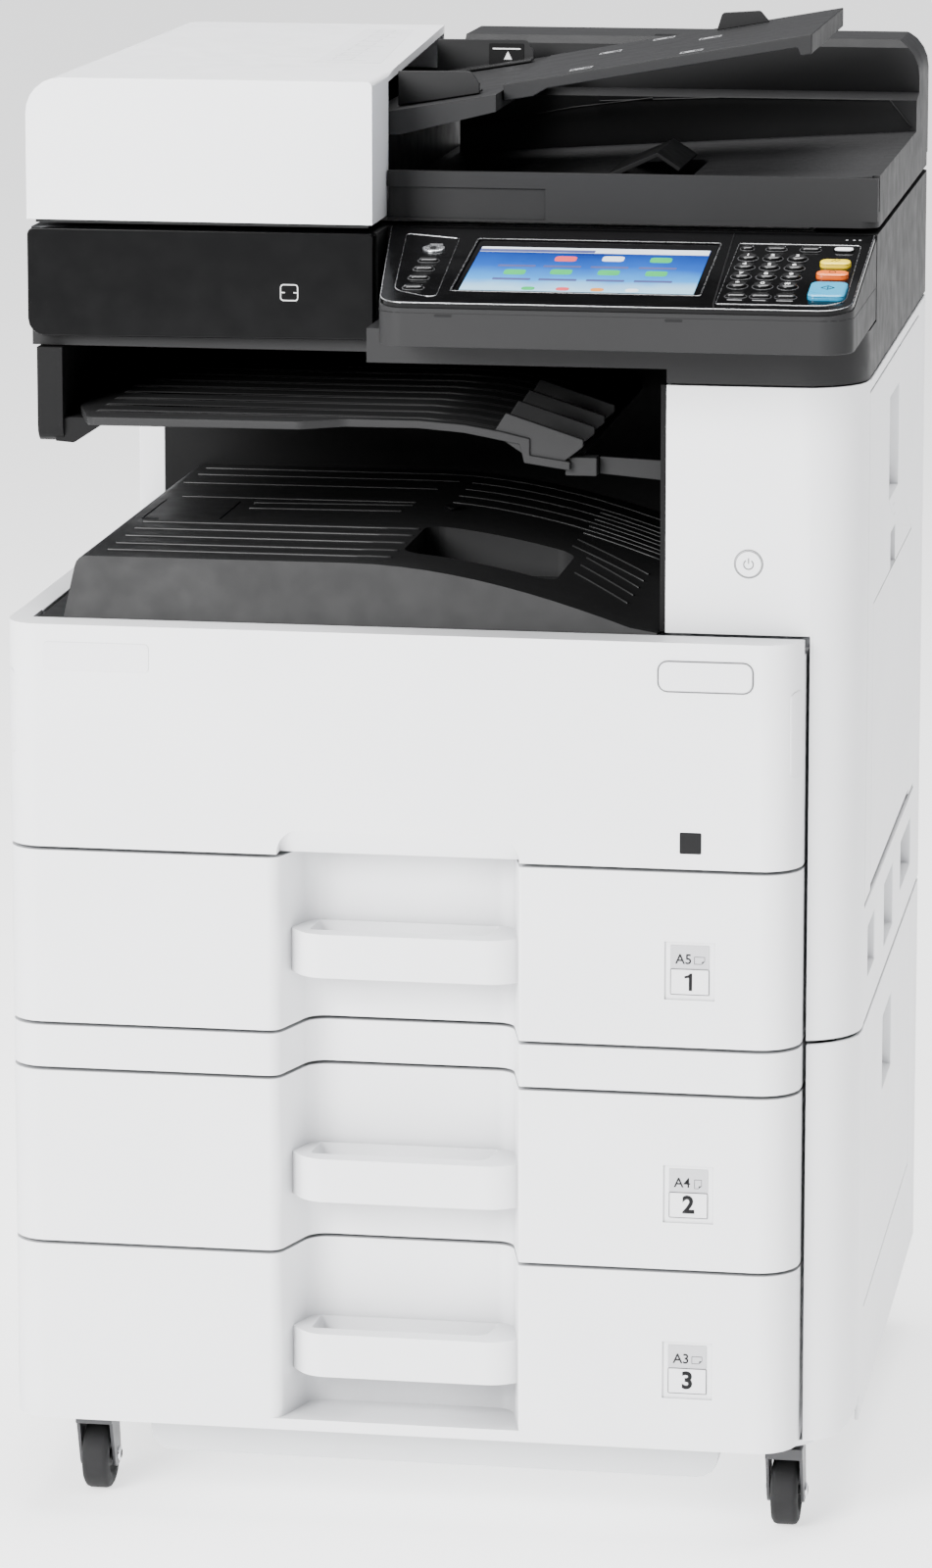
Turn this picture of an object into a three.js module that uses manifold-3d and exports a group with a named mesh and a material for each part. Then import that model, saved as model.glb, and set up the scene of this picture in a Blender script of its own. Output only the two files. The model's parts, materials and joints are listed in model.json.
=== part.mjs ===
// Floor-standing A3 photocopier: main unit, two-drawer paper feeder on casters, flatbed scanner
// with an operation panel, and a document feeder as its lid. Millimetres, +Z up, front towards -Y.
// The origin is on the floor, in the middle of the machine's footprint.
import * as THREE from "three";
import { mergeVertices } from "three/addons/utils/BufferGeometryUtils.js";
import Module from "manifold-3d";

const wasm = await Module();
wasm.setup();

// ---------------------------------------------------------------- driving dimensions
const HALF = 297; // half the width over the covers
const FRONT = -247; // outer face of the drawers and the front cover
const COLUMN_FRONT = -217; // outer face of the right-hand column
const REAR = 307; // outer face of the rear covers
const SKIN = 3; // wall of the moulded covers
const GAP = 2.6; // shadow gap between outer covers
const CLEAR = 0.4; // gap between fixed neighbours
const SHEET = 3; // folded plate of the frames

const BOTTOM = 72; // underside of the paper feeder
const SPLIT_3 = 201; // drawer 3 / drawer 2
const SPLIT_TRIM = 327.1; // drawer 2 / trim strip
const SPLIT_UNIT = 359.7; // paper feeder / main unit
const SPLIT_COVER = 485.3; // drawer 1 / front cover
const COVER_TOP = 644.3; // top of the front cover
const COLUMN_TOP = 817.4; // top of the right-hand column
const SCANNER_TOP = 911.3; // top of the scanner, level with its glass
const FEEDER_TOP = 1017; // top of the document feeder's cover

const FRONT_DEPTH = 54; // depth of the moulded fronts
const FRONT_RIGHT = 259.5; // right end of the moulded fronts
const RECESS_FLOOR = FRONT + 48; // back of the hand recess down the middle of the fronts
const FRAME_FRONT = FRONT + FRONT_DEPTH + 3; // front plate of the frames
const FRAME_REAR = REAR - 7;
const FRAME_LEFT = -HALF + 5;
const FRAME_RIGHT = 259; // right plate, left of the paper path and the doors
const BAY_RIGHT = 162.5; // left face of the column beside the output bay
const BAY_REAR = 203; // front of the wall behind the output bay
const PANEL_SLOPE = THREE.MathUtils.degToRad(9.56); // operation panel
const PANEL_EDGE = { y: -307, z: 881.5 }; // its front edge
const CASTER = { x: 248, y: 192, wheel: 25, width: 20, trail: 12, top: 67 };

// ---------------------------------------------------------------- materials
const finish = (color, roughness, metalness = 0) =>
  new THREE.MeshStandardMaterial({ color, roughness, metalness });
const white = finish(0xf0f1f3, 0.5);
const paleGrey = finish(0xd4d6d9, 0.55);
const darkGrey = finish(0x4c4c4e, 0.55);
const black = finish(0x1c1c1e, 0.5);
const glossBlack = finish(0x08080a, 0.12);
const steel = finish(0xb4b8bc, 0.35, 0.9);
const glass = finish(0x9fb4b8, 0.05);
const rubber = finish(0x17171a, 0.85);
const display = finish(0x2a5fb8, 0.1);
const yellow = finish(0xf2d41c, 0.4);
const orange = finish(0xe8823a, 0.4);
const teal = finish(0x3fb2cc, 0.4);
const silver = finish(0xc6c8ca, 0.3, 0.6);
const green = finish(0x2f6b45, 0.6);

// ---------------------------------------------------------------- solids
// A closed three.js geometry as a manifold solid, for joining and cutting.
function solid(geometry) {
  const bare = new THREE.BufferGeometry();
  bare.setAttribute("position", geometry.getAttribute("position"));
  bare.setIndex(geometry.index);
  const merged = mergeVertices(bare, 1e-4);
  return new wasm.Manifold(
    new wasm.Mesh({
      numProp: 3,
      vertProperties: merged.attributes.position.array,
      triVerts: new Uint32Array(merged.index.array),
    }),
  );
}

function geometryOf(body) {
  const mesh = body.getMesh();
  const geometry = new THREE.BufferGeometry();
  geometry.setAttribute("position", new THREE.BufferAttribute(mesh.vertProperties, 3));
  geometry.setIndex(new THREE.BufferAttribute(mesh.triVerts, 1));
  geometry.computeVertexNormals();
  return geometry;
}

const join = (first, ...others) => others.reduce((body, other) => body.add(other), first);
const cut = (first, ...others) => others.reduce((body, other) => body.subtract(other), first);

// A box between two limits on each axis.
function block([x0, x1], [y0, y1], [z0, z1]) {
  const box = new THREE.BoxGeometry(x1 - x0, y1 - y0, z1 - z0);
  return solid(box.translate((x0 + x1) / 2, (y0 + y1) / 2, (z0 + z1) / 2));
}

// A closed outline through corners [x, y, radius], each corner rounded to its radius.
function outline(corners, steps = 4) {
  const points = [];
  corners.forEach(([x, y, radius = 0], i) => {
    const corner = new THREE.Vector2(x, y);
    if (radius <= 0) {
      points.push(corner);
      return;
    }
    const [px, py] = corners.at(i - 1);
    const [nx, ny] = corners[(i + 1) % corners.length];
    const back = new THREE.Vector2(px - x, py - y).normalize();
    const onward = new THREE.Vector2(nx - x, ny - y).normalize();
    const half = Math.acos(THREE.MathUtils.clamp(back.dot(onward), -1, 1)) / 2;
    const centre = back.clone().add(onward).normalize();
    centre.multiplyScalar(radius / Math.sin(half)).add(corner);
    const start = back.multiplyScalar(radius / Math.tan(half)).add(corner).sub(centre);
    const end = onward.multiplyScalar(radius / Math.tan(half)).add(corner).sub(centre);
    const turn = Math.atan2(start.cross(end), start.dot(end));
    for (let k = 0; k <= steps; k++)
      points.push(start.clone().rotateAround(new THREE.Vector2(), (turn * k) / steps).add(centre));
  });
  return new THREE.Shape(points);
}

// Moves every side of an anticlockwise outline inwards; its corner radii follow.
function insetCorners(corners, distance) {
  return corners.map(([x, y, radius = 0], i) => {
    const [px, py] = corners.at(i - 1);
    const [nx, ny] = corners[(i + 1) % corners.length];
    const along = new THREE.Vector2(x - px, y - py).normalize();
    const onward = new THREE.Vector2(nx - x, ny - y).normalize();
    const turn = along.cross(onward);
    const shift = (distance * (1 - along.dot(onward))) / turn;
    return [
      x - along.y * distance + along.x * -shift,
      y + along.x * distance + along.y * -shift,
      radius > 0 ? Math.max(0.3, radius - Math.sign(turn) * distance) : 0,
    ];
  });
}

const rectangle = ([x0, x1], [y0, y1], r = 0, steps = 4) =>
  outline([[x0, y0, r], [x1, y0, r], [x1, y1, r], [x0, y1, r]], steps);

// An outline drawn in the plane across an axis, extruded between two places on that axis.
function extrude(shape, axis, [from, to]) {
  const geometry = new THREE.ExtrudeGeometry(shape, {
    depth: to - from,
    bevelEnabled: false,
    curveSegments: 8,
  });
  geometry.translate(0, 0, axis === "y" ? -to : from);
  const turn = new THREE.Matrix4();
  if (axis === "x") turn.set(0, 0, 1, 0, 1, 0, 0, 0, 0, 1, 0, 0, 0, 0, 0, 1);
  if (axis === "y") turn.set(1, 0, 0, 0, 0, 0, -1, 0, 0, 1, 0, 0, 0, 0, 0, 1);
  return solid(geometry.applyMatrix4(turn));
}

// A round bar along an axis through the point given by the other two coordinates.
function bar(radius, axis, [from, to], [a, b], sides = 16) {
  const circle = new THREE.Shape();
  circle.absarc(a, b, radius, 0, 2 * Math.PI);
  const shape = new THREE.Shape(circle.getPoints(sides / 2).slice(0, -1));
  return extrude(shape, axis, [from, to]);
}

const machine = new THREE.Group();

function add(name, body, material, group = machine) {
  const mesh = new THREE.Mesh(geometryOf(body), material);
  mesh.name = name;
  group.add(mesh);
  return mesh;
}

const between = (low, high) => [low + GAP / 2, high - GAP / 2];

// ---------------------------------------------------------------- moulded fronts
// Corners of the plan of a front, anticlockwise; the back runs on by beyond.
const RECESS_CORNERS = [
  [-104.3, FRONT, 10],
  [-88, RECESS_FLOOR, 16],
  [55, RECESS_FLOOR, 14],
  [66, FRONT, 2.5],
];
function frontCorners(recessed, beyond = 0) {
  const back = FRONT + FRONT_DEPTH + beyond;
  const recess = recessed ? RECESS_CORNERS : [];
  return [[-HALF, back], [-HALF, FRONT, 25], ...recess, [FRONT_RIGHT, FRONT, 29], [FRONT_RIGHT, back]];
}

// A hollow moulded front, open at the back; a sill below the hand recess closes it underneath.
function mouldedFront([low, high], recessed, sill = 0) {
  const face = extrude(outline(frontCorners(recessed), 6), "z", [low + sill, high]);
  const foot = sill && extrude(outline(frontCorners(false), 6), "z", [low, low + sill + 0.01]);
  const hollow = outline(insetCorners(frontCorners(recessed, SKIN + 1), SKIN), 6);
  return cut(foot ? join(face, foot) : face, extrude(hollow, "z", [low + SKIN, high - SKIN]));
}

// The pull across the recess, with a slot for the fingers behind it.
const PULL_HEIGHT = 31;
function pull(low) {
  const back = RECESS_FLOOR - 0.8;
  const plan = outline(
    [
      [-97, back],
      [-101, FRONT + 25],
      [-84, FRONT + 1.6, 24],
      [50, FRONT + 1.6, 30],
      [65, FRONT + 11],
      [58, back],
    ],
    8,
  );
  const slot = outline(
    [
      [-84, FRONT + 16, 3],
      [40, FRONT + 16, 9],
      [46, back - 1.8, 3],
      [-82, back - 1.8, 3],
    ],
    4,
  );
  const grip = extrude(plan, "z", [low, low + PULL_HEIGHT]);
  return cut(grip, extrude(slot, "z", [low - 1, low + PULL_HEIGHT + 1]));
}

function trayBox([low, high]) {
  const outer = block([-275, 250], [FRONT + FRONT_DEPTH + CLEAR, 215], [low, high]);
  return cut(outer, block([-272, 247], [FRONT + FRONT_DEPTH + 3.4, 212], [low + 2.5, high + 1]));
}

const drawers = [
  { z: between(SPLIT_UNIT, SPLIT_COVER), pull: 399.5, label: 397.5, box: [368, 470] },
  { z: between(SPLIT_3, SPLIT_TRIM), pull: 238.5, label: 238.7, box: [209, 311] },
  { z: [BOTTOM, SPLIT_3 - GAP / 2], pull: 111.5, label: 112.3, box: [80, 183] },
];

function drawerFront({ z, pull: pullAt, label }, sill) {
  const window = block([167, 202], [FRONT - 1, FRONT + 1.6], [label - 3, label + 38]);
  return cut(join(mouldedFront(z, true, sill), pull(pullAt)), window);
}

drawers.forEach((drawer, i) => {
  add(`drawer_front_${i + 1}`, drawerFront(drawer, i === 2 ? 8 : 0), white);
  add(`drawer_box_${i + 1}`, trayBox(drawer.box), paleGrey);
});

add("front_trim_strip", mouldedFront(between(SPLIT_TRIM, SPLIT_UNIT), true), white);

// Over the hand recess the cover's lower edge leans back as a lip, under a rounded arch.
function frontCover() {
  const low = SPLIT_COVER + GAP / 2;
  const lip = { top: 504, depth: 12 };
  const underLip = (grow) => {
    const wedge = outline([
      [FRONT - 9, low - 5],
      [FRONT - 9, lip.top + grow],
      [FRONT + 0.8 * grow, lip.top + grow],
      [FRONT + lip.depth + 0.8 * grow, low + grow],
      [FRONT + lip.depth + 0.8 * grow, low - 5],
    ]);
    const arch = rectangle([-104 - grow, 66 + grow], [low - 20, lip.top + 0.6 * grow], 16 + grow, 6);
    return extrude(wedge, "x", [-130, 90]).intersect(extrude(arch, "y", [FRONT - 9, RECESS_FLOOR]));
  };
  const outer = extrude(outline(frontCorners(false), 6), "z", [low, COVER_TOP]);
  const hollow = outline(insetCorners(frontCorners(false, SKIN + 1), SKIN), 6);
  const inner = extrude(hollow, "z", [low + SKIN, COVER_TOP - SKIN]);
  const cover = cut(outer, underLip(0), cut(inner, underLip(SKIN)));
  const belowTray = block([-281, FRONT_RIGHT + 1], [FRONT + 26, FRONT + 60], [634, COVER_TOP + 6]);
  return cut(cover, belowTray);
}
add("front_cover", frontCover(), white);

// ---------------------------------------------------------------- frames
// The plate that a caster turns under, hung below the floor of the frame.
function casterPad(x, y) {
  const plate = bar(22, "z", [CASTER.top + 0.4, BOTTOM - 0.6], [x, y]);
  const front = Math.max(y - 17, FRAME_FRONT + 1);
  return join(plate, block([x - 15, x + 15], [front, y + 17], [70, BOTTOM + 2]));
}

function feederFrame() {
  const [low, high] = [BOTTOM + 1, SPLIT_UNIT - 3];
  const depth = [FRAME_FRONT, FRAME_REAR];
  const rails = [201, 328].flatMap((z) => [
    block([FRAME_LEFT, -278], depth, [z, z + SHEET]),
    block([253, FRAME_RIGHT], depth, [z, z + SHEET]),
  ]);
  const pads = [-1, 1].flatMap((side) =>
    [-1, 1].map((end) => casterPad(side * CASTER.x, end * CASTER.y)),
  );
  return join(
    block([FRAME_LEFT, 286], depth, [low, low + 4]),
    block([FRAME_LEFT, FRAME_RIGHT], depth, [high - SHEET, high]),
    block([FRAME_LEFT, FRAME_LEFT + SHEET], depth, [low, high]),
    block([FRAME_RIGHT - SHEET, FRAME_RIGHT], depth, [low, high]),
    block([FRAME_LEFT, -FRAME_LEFT], [FRAME_REAR - SHEET, FRAME_REAR], [low, high]),
    ...rails,
    ...pads,
  );
}
add("feeder_frame", feederFrame(), steel);

function mainFrame() {
  const base = SPLIT_UNIT + GAP / 2;
  const deck = SPLIT_COVER + 3;
  const depth = [FRAME_FRONT, FRAME_REAR];
  const across = [FRAME_LEFT, FRAME_RIGHT];
  const plates = join(
    block([FRAME_LEFT, 286], depth, [base, base + SHEET]),
    block([FRAME_LEFT, FRAME_LEFT + SHEET], depth, [base, 640]),
    block([FRAME_RIGHT - SHEET, FRAME_RIGHT], depth, [base, deck]),
    block(across, depth, [deck, deck + SHEET]),
    block([FRAME_LEFT, -FRAME_LEFT], [FRAME_REAR - SHEET, FRAME_REAR], [base, 815]),
    block(across, [FRAME_FRONT, FRAME_FRONT + SHEET], [deck, 640]),
    block([163, FRAME_RIGHT], [FRAME_FRONT, FRAME_FRONT + SHEET], [639, 815]),
    block([163, 166], depth, [641, 815]),
    block([163, FRAME_RIGHT], depth, [812, 815]),
    block([FRAME_LEFT + 4, 164], [BAY_REAR + 7, FRAME_REAR], [812, 815]),
    block([-275, 164], depth, [637, 640]),
  );
  return cut(
    plates,
    bar(36, "y", [-200, -180], [-120, 530], 24),
    bar(24, "y", [-200, -180], [190, 560], 20),
    block([190, 245], [-200, -180], [520, 542]),
    block([160, 170], [-150, 150], [690, 712]),
    block([160, 170], [-150, 150], [762, 784]),
  );
}
add("main_frame", mainFrame(), steel);

// ---------------------------------------------------------------- outer covers
function leftCover() {
  const side = [FRONT + FRONT_DEPTH + 0.6, REAR - 22.5];
  const low = SPLIT_UNIT + GAP / 2;
  const grip = [[-60, 60], [565, 600]];
  const wall = join(
    block([-HALF, -HALF + SKIN], side, [low, COVER_TOP]),
    block([-HALF, -280], [side[0], BAY_REAR], [COVER_TOP - SKIN, COVER_TOP]),
    block([-HALF, -HALF + SKIN], [BAY_REAR, side[1]], [COVER_TOP, COLUMN_TOP - 1.8]),
    block([-HALF, -277], [BAY_REAR, BAY_REAR + SKIN], [COVER_TOP - SKIN, COLUMN_TOP - 1.8]),
  );
  return cut(wall, block([-HALF - 1, -HALF + 1.4], ...grip));
}
add("left_cover", leftCover(), white);

function rearCover() {
  const plan = outline([
    [-HALF, REAR - 22],
    [-HALF, REAR, 10],
    [HALF, REAR, 10],
    [HALF, REAR - 22],
    [HALF - SKIN, REAR - 22],
    [HALF - SKIN, REAR - SKIN, 7],
    [-HALF + SKIN, REAR - SKIN, 7],
    [-HALF + SKIN, REAR - 22],
  ]);
  const shell = extrude(plan, "z", [SPLIT_UNIT + GAP / 2, COLUMN_TOP - 1.8]);
  const vents = [0, 1, 2, 3, 4, 5].map((k) =>
    block([70, 190], [REAR - 5, REAR + 1], [600 + 14 * k, 606 + 14 * k]),
  );
  return cut(shell, block([-253, -217], [REAR - 6, REAR + 1], [386, 412]), ...vents);
}
add("rear_cover", rearCover(), white);

function mainsInlet() {
  const body = block([-252.5, -217.5], [REAR - 6, REAR - 0.5], [386.5, 411.5]);
  const well = block([-249, -221], [REAR - 4.5, REAR + 1], [390, 408]);
  const blades = [-243, -235, -227].map((x) =>
    block([x - 1, x + 1], [REAR - 5, REAR - 1], [396, 402]),
  );
  return join(cut(body, well), ...blades);
}
add("mains_inlet", mainsInlet(), black);

// Plan of the column's skin: its front, the round corner and the right side as far back as end.
const columnPlan = (end) =>
  outline(
    [
      [BAY_RIGHT, COLUMN_FRONT],
      [HALF, COLUMN_FRONT, 45],
      [HALF, end],
      [HALF - SKIN, end],
      [HALF - SKIN, COLUMN_FRONT + SKIN, 42],
      [BAY_RIGHT, COLUMN_FRONT + SKIN],
    ],
    7,
  );
const besideFronts = block([FRONT_RIGHT + GAP, HALF + 1], [-240, REAR], [0, COVER_TOP + 2]);

// Beside the output bay the column is as wide as the bay allows, and beside the fronts it is narrow.
function rightColumnCover() {
  const top = COLUMN_TOP - 0.4;
  const lower = extrude(columnPlan(-166), "z", [SPLIT_UNIT + GAP / 2, COVER_TOP + 2]);
  const upper = extrude(columnPlan(-166), "z", [COVER_TOP + 1.3, top]);
  const returns = join(
    block([BAY_RIGHT, BAY_RIGHT + SKIN], [COLUMN_FRONT, -195], [COVER_TOP + 1.3, top]),
    block([FRONT_RIGHT + GAP, FRONT_RIGHT + GAP + 2], [COLUMN_FRONT + 1.5, -195], [362, 646]),
  );
  const buttonHole = bar(10.1, "y", [COLUMN_FRONT - 1, COLUMN_FRONT + 5], [219.6, 694.9], 28);
  return cut(join(lower.intersect(besideFronts), upper, returns), buttonHole);
}
add("right_column_cover", rightColumnCover(), white);
add("power_button", bar(9.6, "y", [COLUMN_FRONT - 0.8, COLUMN_FRONT + 6], [219.6, 694.9], 28), white);

// Hand pockets in the side covers: a bump behind the wall and the hollow cut into it.
const pocketBump = ([y0, y1], [z0, z1]) =>
  block([HALF - 16, HALF - 1], [y0 - 2.5, y1 + 2.5], [z0 - 2.5, z1 + 2.5]);
const pocketHollow = (y, z) => block([HALF - 13.5, HALF + 1], y, z);

function rightSideCover() {
  const lowPockets = [
    [[-137, -82], [388, 424]],
    [[-7, 69], [378, 424]],
    [[131, 222], [388, 424]],
  ];
  const [front, back] = [-165.4, REAR - 22.5];
  const wall = [HALF - SKIN, HALF];
  const body = join(
    block(wall, [front, back], [SPLIT_UNIT + GAP / 2, 444]),
    block(wall, [240, back], [SPLIT_UNIT + GAP / 2, COLUMN_TOP - 1.8]),
    block(wall, [front, back], [808, COLUMN_TOP - 1.8]),
    ...lowPockets.map(([y, z]) => pocketBump(y, z)),
  );
  return cut(body, ...lowPockets.map(([y, z]) => pocketHollow(y, z)));
}
add("right_side_cover", rightSideCover(), white);

// A shallow door pan on the right side, with its flanges turned inwards.
function doorPan([y0, y1], [z0, z1], depth) {
  const pan = block([HALF - depth, HALF], [y0, y1], [z0, z1]);
  return cut(pan, block([HALF - depth - 1, HALF - SKIN], [y0 + 2.5, y1 - 2.5], [z0 + 2.5, z1 - 2.5]));
}

function rightCover() {
  const finger = [[10, 50], [640, 680]];
  const grip = [[-7, 69], [706, 781]];
  const flapWell = block([HALF - 12.5, HALF - 1], [-124.5, 197.5], [448, 655.5]);
  const body = join(
    doorPan([-163.8, 238.6], [447.5, 806.6], 22),
    flapWell,
    pocketBump(...grip),
    pocketBump(...finger),
  );
  return cut(
    body,
    block([HALF - 10, HALF + 1], [-121.6, 194.6], [447, 652.8]),
    pocketHollow(...grip),
    pocketHollow(finger[0], [653, 680]),
  );
}
add("right_cover", rightCover(), white);

function mpTray() {
  const flap = block([HALF - 5, HALF], [-120.6, 193.6], [451.5, 651.8]);
  const ribs = [-100, -60, -20, 20, 60, 100, 140, 174].map((y) =>
    block([HALF - 7.5, HALF - 4], [y, y + 2], [470, 640]),
  );
  return join(flap, ...ribs);
}
add("mp_tray", mpTray(), white);

function feederCover() {
  const plan = outline([
    [-HALF, FRONT + FRONT_DEPTH + 0.6],
    [-HALF, REAR, 10],
    [HALF, REAR, 10],
    [HALF, REAR - 22],
    [HALF - SKIN, REAR - 22],
    [HALF - SKIN, REAR - SKIN, 7],
    [-HALF + SKIN, REAR - SKIN, 7],
    [-HALF + SKIN, FRONT + FRONT_DEPTH + 0.6],
  ]);
  return extrude(plan, "z", [BOTTOM + 0.6, SPLIT_UNIT - GAP / 2]);
}
add("feeder_cover", feederCover(), white);

const LOWER_DOOR = { y: [-137, 231], z: [147, SPLIT_UNIT - GAP / 2] };
function feederRightColumn() {
  const skin = extrude(columnPlan(REAR - 22.5), "z", [BOTTOM + 0.6, SPLIT_UNIT - GAP / 2]);
  const wall = skin.intersect(besideFronts);
  const opening = block([280, 300], LOWER_DOOR.y, [LOWER_DOOR.z[0], LOWER_DOOR.z[1] + 1]);
  const cornerRound = extrude(
    outline([
      [240, 60],
      [320, 60],
      [320, 100],
      [HALF, 100],
      [HALF, BOTTOM + 0.6, 20],
      [240, BOTTOM + 0.6],
    ]),
    "y",
    [-230, -165],
  );
  return cut(wall, opening, cornerRound);
}
add("feeder_right_column", feederRightColumn(), white);

function lowerRightDoor() {
  const [y0, y1] = LOWER_DOOR.y;
  const [z0, z1] = LOWER_DOOR.z;
  const grip = [[-7, 69], [271, 326]];
  const pan = doorPan([y0 + 1.2, y1 - 1.2], [z0 + 1.2, z1 - 0.4], 22);
  return cut(join(pan, pocketBump(...grip)), pocketHollow(...grip));
}
add("lower_right_door", lowerRightDoor(), white);

function baseSkirt() {
  const profile = (inset) =>
    outline([
      [-204 + inset, BOTTOM + (inset ? 2 : 0.6)],
      [-204 + inset, 41 + inset, 16 - inset],
      [203 - inset, 41 + inset, 16 - inset],
      [203 - inset, BOTTOM + (inset ? 2 : 0.6)],
    ]);
  return cut(
    extrude(profile(0), "y", [COLUMN_FRONT + 4, 217]),
    extrude(profile(SKIN), "y", [COLUMN_FRONT + 7, 214]),
    block([-300, 300], [-230, FRAME_FRONT], [BOTTOM - 0.6, BOTTOM + 2]),
  );
}
add("base_skirt", baseSkirt(), paleGrey);

// ---------------------------------------------------------------- output bay
// Height of the output tray's surface: level on the left, curving down towards the exit.
const TRAY = { left: -252.5, right: 157, level: 686, drop: 44, bendFrom: -60 };
function trayHeight(x) {
  const s = THREE.MathUtils.clamp((x - TRAY.bendFrom) / (TRAY.right - TRAY.bendFrom), 0, 1);
  return Math.max(TRAY.level - TRAY.drop * s * s * (1.3 - 0.3 * s), COVER_TOP + 1.2);
}

function trayProfile(inset) {
  const low = inset ? 640 : 642.6;
  const points = [[TRAY.left - 7.5 + inset, low], [TRAY.left + inset, TRAY.level - inset, 8]];
  for (let x = TRAY.bendFrom; x < TRAY.right; x += 18) points.push([x, trayHeight(x) - inset]);
  points.push([TRAY.right - inset, trayHeight(TRAY.right) - inset], [TRAY.right - inset, low]);
  return outline(points);
}

function outputTray() {
  const outer = extrude(trayProfile(0), "y", [-219.5, 199]);
  const inner = extrude(trayProfile(2.5), "y", [-216, 196.5]);
  const slope = outline([[-230, 641], [-219.5, 642.7], [-207, 685], [-203, 700], [-230, 700]]);
  const innerSlope = outline([[-230, 639], [-217, 640], [-204.5, 684], [-200.5, 700], [-230, 700]]);
  const fingerWalls = block([-35, 79], [-155, -37], [647.5, 700]);
  const fingerHollow = extrude(rectangle([-32, 76], [-152, -40], 14), "z", [650, 700]);
  const hollow = cut(inner, extrude(innerSlope, "x", [-300, 200]), fingerWalls);
  const rim = cut(
    block([-277, 157], [-219.5, 199], [642.6, 644.2]),
    block([-259, 154], [-217, 196.5], [640, 646]),
  );
  return join(cut(outer, extrude(slope, "x", [-300, 200]), hollow, fingerHollow), rim);
}
add("output_tray", outputTray(), darkGrey);

function bayLining() {
  const rear = block([-276, 161.5], [200, BAY_REAR - CLEAR], [645.5, COLUMN_TOP - 0.8]);
  const right = block([158.2, 161.5], [-213, BAY_REAR - 1], [645.5, COLUMN_TOP - 0.8]);
  const exits = [690, 762].map((z) => block([150, 170], [-150, 150], [z, z + 22]));
  const vents = [705, 712, 719].map((z) => block([120, 152], [190, 210], [z, z + 3.5]));
  return cut(join(rear, right), ...exits, ...vents);
}
add("bay_lining", bayLining(), black);

// The upper sheet tray: level on the left, falling to a lower plate and fins at the exit.
function separatorTray() {
  const surface = [[-268, 783.5], [-14, 784], [18, 781.8], [43, 777.8], [64, 773]];
  const profile = outline([
    ...surface,
    [64, 761.5],
    [92, 757.5],
    [92, 751.5],
    [60, 756],
    [57, 769],
    [18, 776],
    [-14, 778.4],
    [-268, 777.5],
  ]);
  const plan = outline([
    [-262, -150, 30],
    [-244, -205, 8],
    [-94, -205, 14],
    [-66, -188, 14],
    [95, -188],
    [95, 196],
    [-262, 196],
  ]);
  const plate = extrude(profile, "y", [-206, 197]).intersect(extrude(plan, "z", [750, 786]));
  const ribSide = outline([
    [-246, 783],
    [-241, 785.2],
    [-14, 785.2],
    [18, 783],
    [43, 779],
    [60, 775.6],
    [60, 773],
    [18, 780],
    [-14, 782.5],
  ]);
  const ribs = [];
  for (let y = -180; y < 190; y += 30) ribs.push(extrude(ribSide, "y", [y, y + 2]));
  const finSide = outline([[38, 776], [47, 790.5], [101, 773], [101, 768], [86, 756], [66, 757.5]]);
  const fins = [-184, -126, -74, -21].map((y) => extrude(finSide, "y", [y - 2, y + 2]));
  const clip = block([88, 110], [-182, -168], [747, 760]);
  return join(plate, ...ribs, ...fins, clip);
}
add("separator_tray", separatorTray(), black);

function hookBracket() {
  const profile = outline([
    [-174, 827.4],
    [-174, 760, 12],
    [-150, 760, 6],
    [-132, 773],
    [196, 773],
    [196, 827.4],
  ]);
  const foot = outline([
    [-275, 760.5],
    [-262, 759.5, 3],
    [-243, 772],
    [-243, 776.8],
    [-275, 776.8],
  ]);
  return join(extrude(profile, "x", [-287, -269]), extrude(foot, "y", [-170, -152]));
}
add("hook_bracket", hookBracket(), black);

// ---------------------------------------------------------------- engine
function laserScannerUnit() {
  const body = block([-160, 110], [-120, 180], [575, 620]);
  const lid = block([-165, 115], [-125, 185], [620, 624]);
  const window = block([108, 118], [-110, 170], [588, 602]);
  return join(body, lid, window);
}
add("laser_scanner_unit", laserScannerUnit(), black);

function tonerContainer() {
  const body = bar(34, "y", [-186, 200], [-120, 530], 20);
  const cap = bar(26, "y", [-189, -185], [-120, 530], 20);
  const hopper = block([-98, -56], [100, 180], [515, 545]);
  return join(body, cap, hopper);
}

function drivePartsAt(x, z, radius, y0, y1) {
  const journals = bar(radius * 0.35, "y", [y0 - 9, y1 + 9], [x, z], 12);
  return join(bar(radius, "y", [y0, y1], [x, z], 24), journals);
}
add("photoconductor_drum", drivePartsAt(190, 560, 15, -165, 175), teal);
add("heat_roller", drivePartsAt(205, 722, 14, -150, 160), steel);

function fuserFrame() {
  const shell = block([178, 252], [-175, 185], [694, 752]);
  const hollow = block([184, 246], [-156, 166], [690, 748]);
  const path = block([215, 232], [-150, 160], [690, 760]);
  const bearings = bar(6, "y", [-180, 190], [205, 722], 16);
  return cut(shell, hollow, path, bearings);
}
add("fuser_frame", fuserFrame(), darkGrey);

function mainBoard() {
  const board = block([-60, 160], [290, 292], [655, 800]);
  const chips = [[-20, 770], [40, 720], [100, 690], [20, 680]].map(([x, z]) =>
    block([x - 14, x + 14], [284, 290.5], [z - 14, z + 14]),
  );
  const standoffs = [-50, 150].flatMap((x) =>
    [665, 790].map((z) => bar(3, "y", [291, 296.6], [x, z], 8)),
  );
  return join(board, ...chips, ...standoffs);
}
add("main_board", mainBoard(), green);

// ---------------------------------------------------------------- scanner
const GLASS = { x: [-185, 250], y: [-105, 195] };
const HINGES = [-222, 222]; // document feeder hinges, left and right
const LID_PIVOT = { y: 300, z: 922 };

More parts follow.
